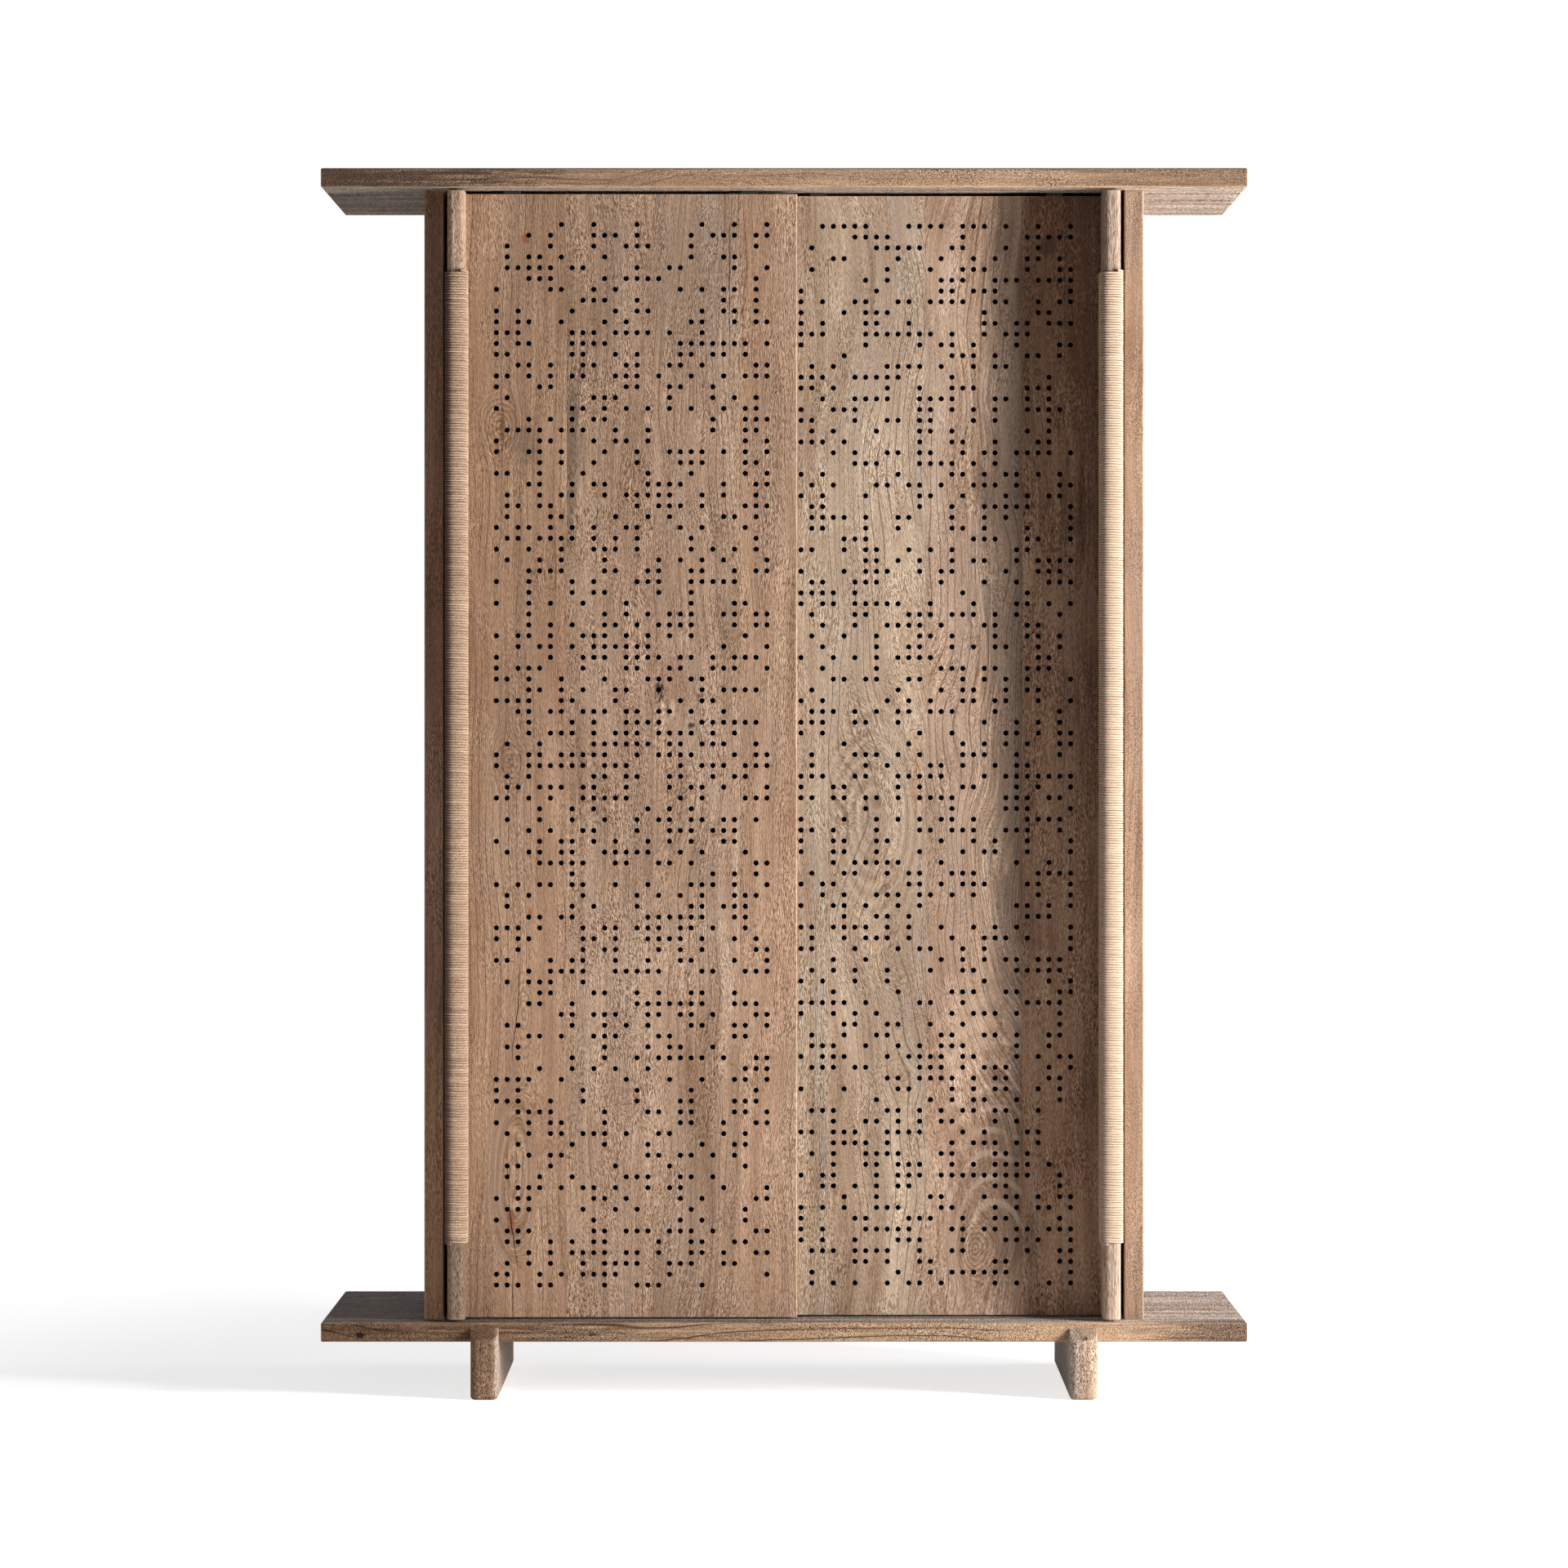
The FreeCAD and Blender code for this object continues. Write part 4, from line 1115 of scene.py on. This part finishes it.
winding = {
    "thick": 0.0046,  # away from the batten
    "high": 0.0040,  # along the batten
    "pitch": 0.0039,
    "seat": 0.0001,  # between cord and batten
    "frontRound": 0.0095,  # of the batten's arrises
    "backRound": 0.0035,
    "relief": 0.005,  # the room for the cord between batten and leaf
    "footGap": 0.1145,  # from the batten's foot to the first turn
    "headGap": 0.1215,
    "pointsPerCorner": 3,
    "loose": 0.00045,  # how far a turn may stand off the batten
    "slip": 0.0005,  # and how far it may lie out of its place
    "seeds": {"left": 5, "right": 6},
    "plyPitch": 0.0062,
    "pale": (244, 217, 188),
    "middle": (209, 171, 139),
    "dark": (132, 92, 64),
    # the tone of the painted shade between turns and in the left strip
    "gap": (92, 58, 38),
    "shadeStripWidth": 0.016,  # of the painted shade strip down the winding's left, the side away from the light
    "shadeStripRagged": 0.012,
    # how strong the painted shade strip is on each side
    "shadeStrip": {"left": 1.0, "right": 0.15},
    "levels": {"left": 0.0, "right": 0.28},
    # how much each pattern changes the colour, and how high it stands
    "tones": {"strand": 0.8, "fibre": 0.9, "hank": 1.0, "groove": 0.35, "meeting": 0.55},
    "heights": {"ply": 0.3, "strand": 0.6, "fibre": 0.35},
    "deep": 0.0008,
}


def cordMaterial(side):
    board = Board(f"jute_{side}")
    along, around, _ = board.split(board.add("ShaderNodeUVMap", {"uv_map": "cord"}))
    twist = along / winding["plyPitch"] + around
    ply = board.maths("SINE", twist * (4 * math.pi)) * 0.5 + 0.5
    groove = 1 - board.between(ply, 0.0, 0.4)
    # strands lie slantwise in a ply, fibres along the cord, and a hank's tone changes slowly
    strand = board.noise(board.join(twist * 9, along * 90 - around * 4, 0.0), 2.0, 0.6)
    strand = board.between(strand, 0.32, 0.68)
    fibre = board.noise(board.join(along * 900, around * 26, 5.0), 2.0, 0.6)
    hank = board.noise(board.join(along * 7, around * 0.6, 3.0), 3.0, 0.6)
    tones = winding["tones"]
    level = 0.5 + winding["levels"][side] + (strand - 0.5) * tones["strand"]
    level = level + (fibre - 0.5) * tones["fibre"] + (hank - 0.5) * tones["hank"]
    stops = (0.12, winding["dark"]), (0.5, winding["middle"]), (0.88, winding["pale"])
    colour = board.ramp(level, *stops)
    # painted shade in the grooves between the plies
    colour = board.mix(groove * strand * tones["groove"], colour, winding["dark"])
    # painted shade where one turn meets the next, and in a strip down the left, away from the
    # light
    beside = board.maths("ABSOLUTE", board.maths("SINE", around * (2 * math.pi)))
    meeting = board.between(beside, 0.72, 1.0) * tones["meeting"]
    colour = board.mix(meeting, colour, winding["gap"])
    x = board.split(board.place())[0] + (hank - 0.5) * winding["shadeStripRagged"]
    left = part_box(f"winding_{side}")[0][0]
    shadeStrip = 1 - board.between(x, left, left + winding["shadeStripWidth"])
    colour = board.mix(shadeStrip * winding["shadeStrip"][side], colour, winding["gap"])
    heights = winding["heights"]
    height = ply * heights["ply"] + strand * heights["strand"] + fibre * heights["fibre"]
    return board.finish(
        Base_Color=colour,
        Roughness=0.74 + fibre * 0.15,
        Normal=board.bump(height, winding["deep"]),
        Sheen_Weight=0.1,
        Specular_IOR_Level=0.3,
    )


def turnOutline(left, right, near, far, offset):
    # points of one turn seen from above, each corner's arc inside its own few points
    count = winding["pointsPerCorner"]
    frontRound = winding["frontRound"] + offset
    backRound = winding["backRound"] + offset
    corners = [
        (left, near, frontRound, 1, 1), (left, far, backRound, 1, -1),
        (right, far, backRound, -1, -1), (right, near, frontRound, -1, 1),
    ]
    outline = []
    for index, (x, y, radius, inX, inY) in enumerate(corners):
        middleX, middleY = x + inX * radius, y + inY * radius
        start = math.radians(270 - 90 * index)
        reach = radius / math.cos(math.radians(45) / count)
        for step in range(count):
            turn = start - math.radians(90) * (step + 0.5) / count
            outline.append((middleX + reach * math.cos(turn), middleY + reach * math.sin(turn)))
    return outline


def windingPoints(side):
    # one turn after another, going up
    low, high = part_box(f"handle_{side}")
    offset = winding["seat"] + winding["thick"] / 2
    left, right = low[0] - offset, high[0] + offset
    near, far = low[1] - offset, high[1] - winding["relief"] + offset
    bottom = low[2] + winding["footGap"] + winding["high"] / 2
    top = high[2] - winding["headGap"] - winding["high"] / 2
    turns = int((top - bottom) / winding["pitch"])
    rise = (top - bottom) / turns
    outline = turnOutline(left, right, near, far, offset)
    draw = random.Random(winding["seeds"][side])
    points = []
    for turn in range(turns):
        for index, (x, y) in enumerate(outline):
            loose = draw.uniform(0, winding["loose"])
            slip = draw.uniform(-winding["slip"], winding["slip"]) * 0.5
            z = bottom + rise * (turn + index / len(outline)) + slip
            z = min(max(z, bottom), top)
            outX = math.copysign(loose, x - (left + right) / 2)
            outY = -loose if y < (near + far) / 2 else 0
            points.append((x + outX, y + outY, z))
    return points, turns


def cordProfile():
    # the cord's own cross-section, an oval
    deselect()
    bpy.ops.curve.primitive_bezier_circle_add(radius=0.5, location=(0, 0, 0))
    oval = bpy.context.object
    oval.name = "cord_oval"
    oval.scale = (winding["thick"], winding["high"], 1)
    settle(oval)
    oval.data.resolution_u = 2
    return oval


def layCord(side, oval):
    points, turns = windingPoints(side)
    curve = bpy.data.curves.new(f"winding_cord_{side}", "CURVE")
    curve.dimensions = "3D"
    spline = curve.splines.new("NURBS")
    spline.points.add(len(points) - 1)
    for point, place in zip(spline.points, points):
        point.co = (*place, 1)
    spline.order_u = 3
    spline.use_endpoint_u = True
    spline.resolution_u = 2
    curve.resolution_u = 2
    curve.bevel_mode = "OBJECT"
    curve.bevel_object = oval
    curve.use_fill_caps = True
    curve.twist_mode = "Z_UP"
    cord = bpy.data.objects.new(f"winding_cord_{side}", curve)
    bpy.context.scene.collection.objects.link(cord)
    work(cord)
    bpy.ops.object.convert(target="MESH")
    cord = bpy.context.object
    length = sum(math.dist(first, last) for first, last in zip(points, points[1:]))
    print(cord.name, len(cord.data.polygons), "faces", turns, "turns", round(length, 2), "m")
    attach(cord, f"door_{side}")
    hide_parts(f"winding_{side}")
    return cord, length


def markAlong(cord, length):
    # the cord's own map: metres along it, and once round it
    layer = cord.data.uv_layers[0]
    layer.name = "cord"
    for corner in layer.data:
        u, v = corner.uv
        corner.uv = (u * length, v)


def makeWindings():
    oval = cordProfile()
    for side in sides:
        cord, length = layCord(side, oval)
        markAlong(cord, length)
        cord.data.materials.clear()
        cord.data.materials.append(cordMaterial(side))
        for face in cord.data.polygons:
            face.use_smooth = True
    bpy.data.objects.remove(oval)
    print("windings laid")


makeWindings()

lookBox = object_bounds()
boxes = {"cad": cadBox, "looks": lookBox}
{name: [list(corner) for corner in box] for name, box in boxes.items()}
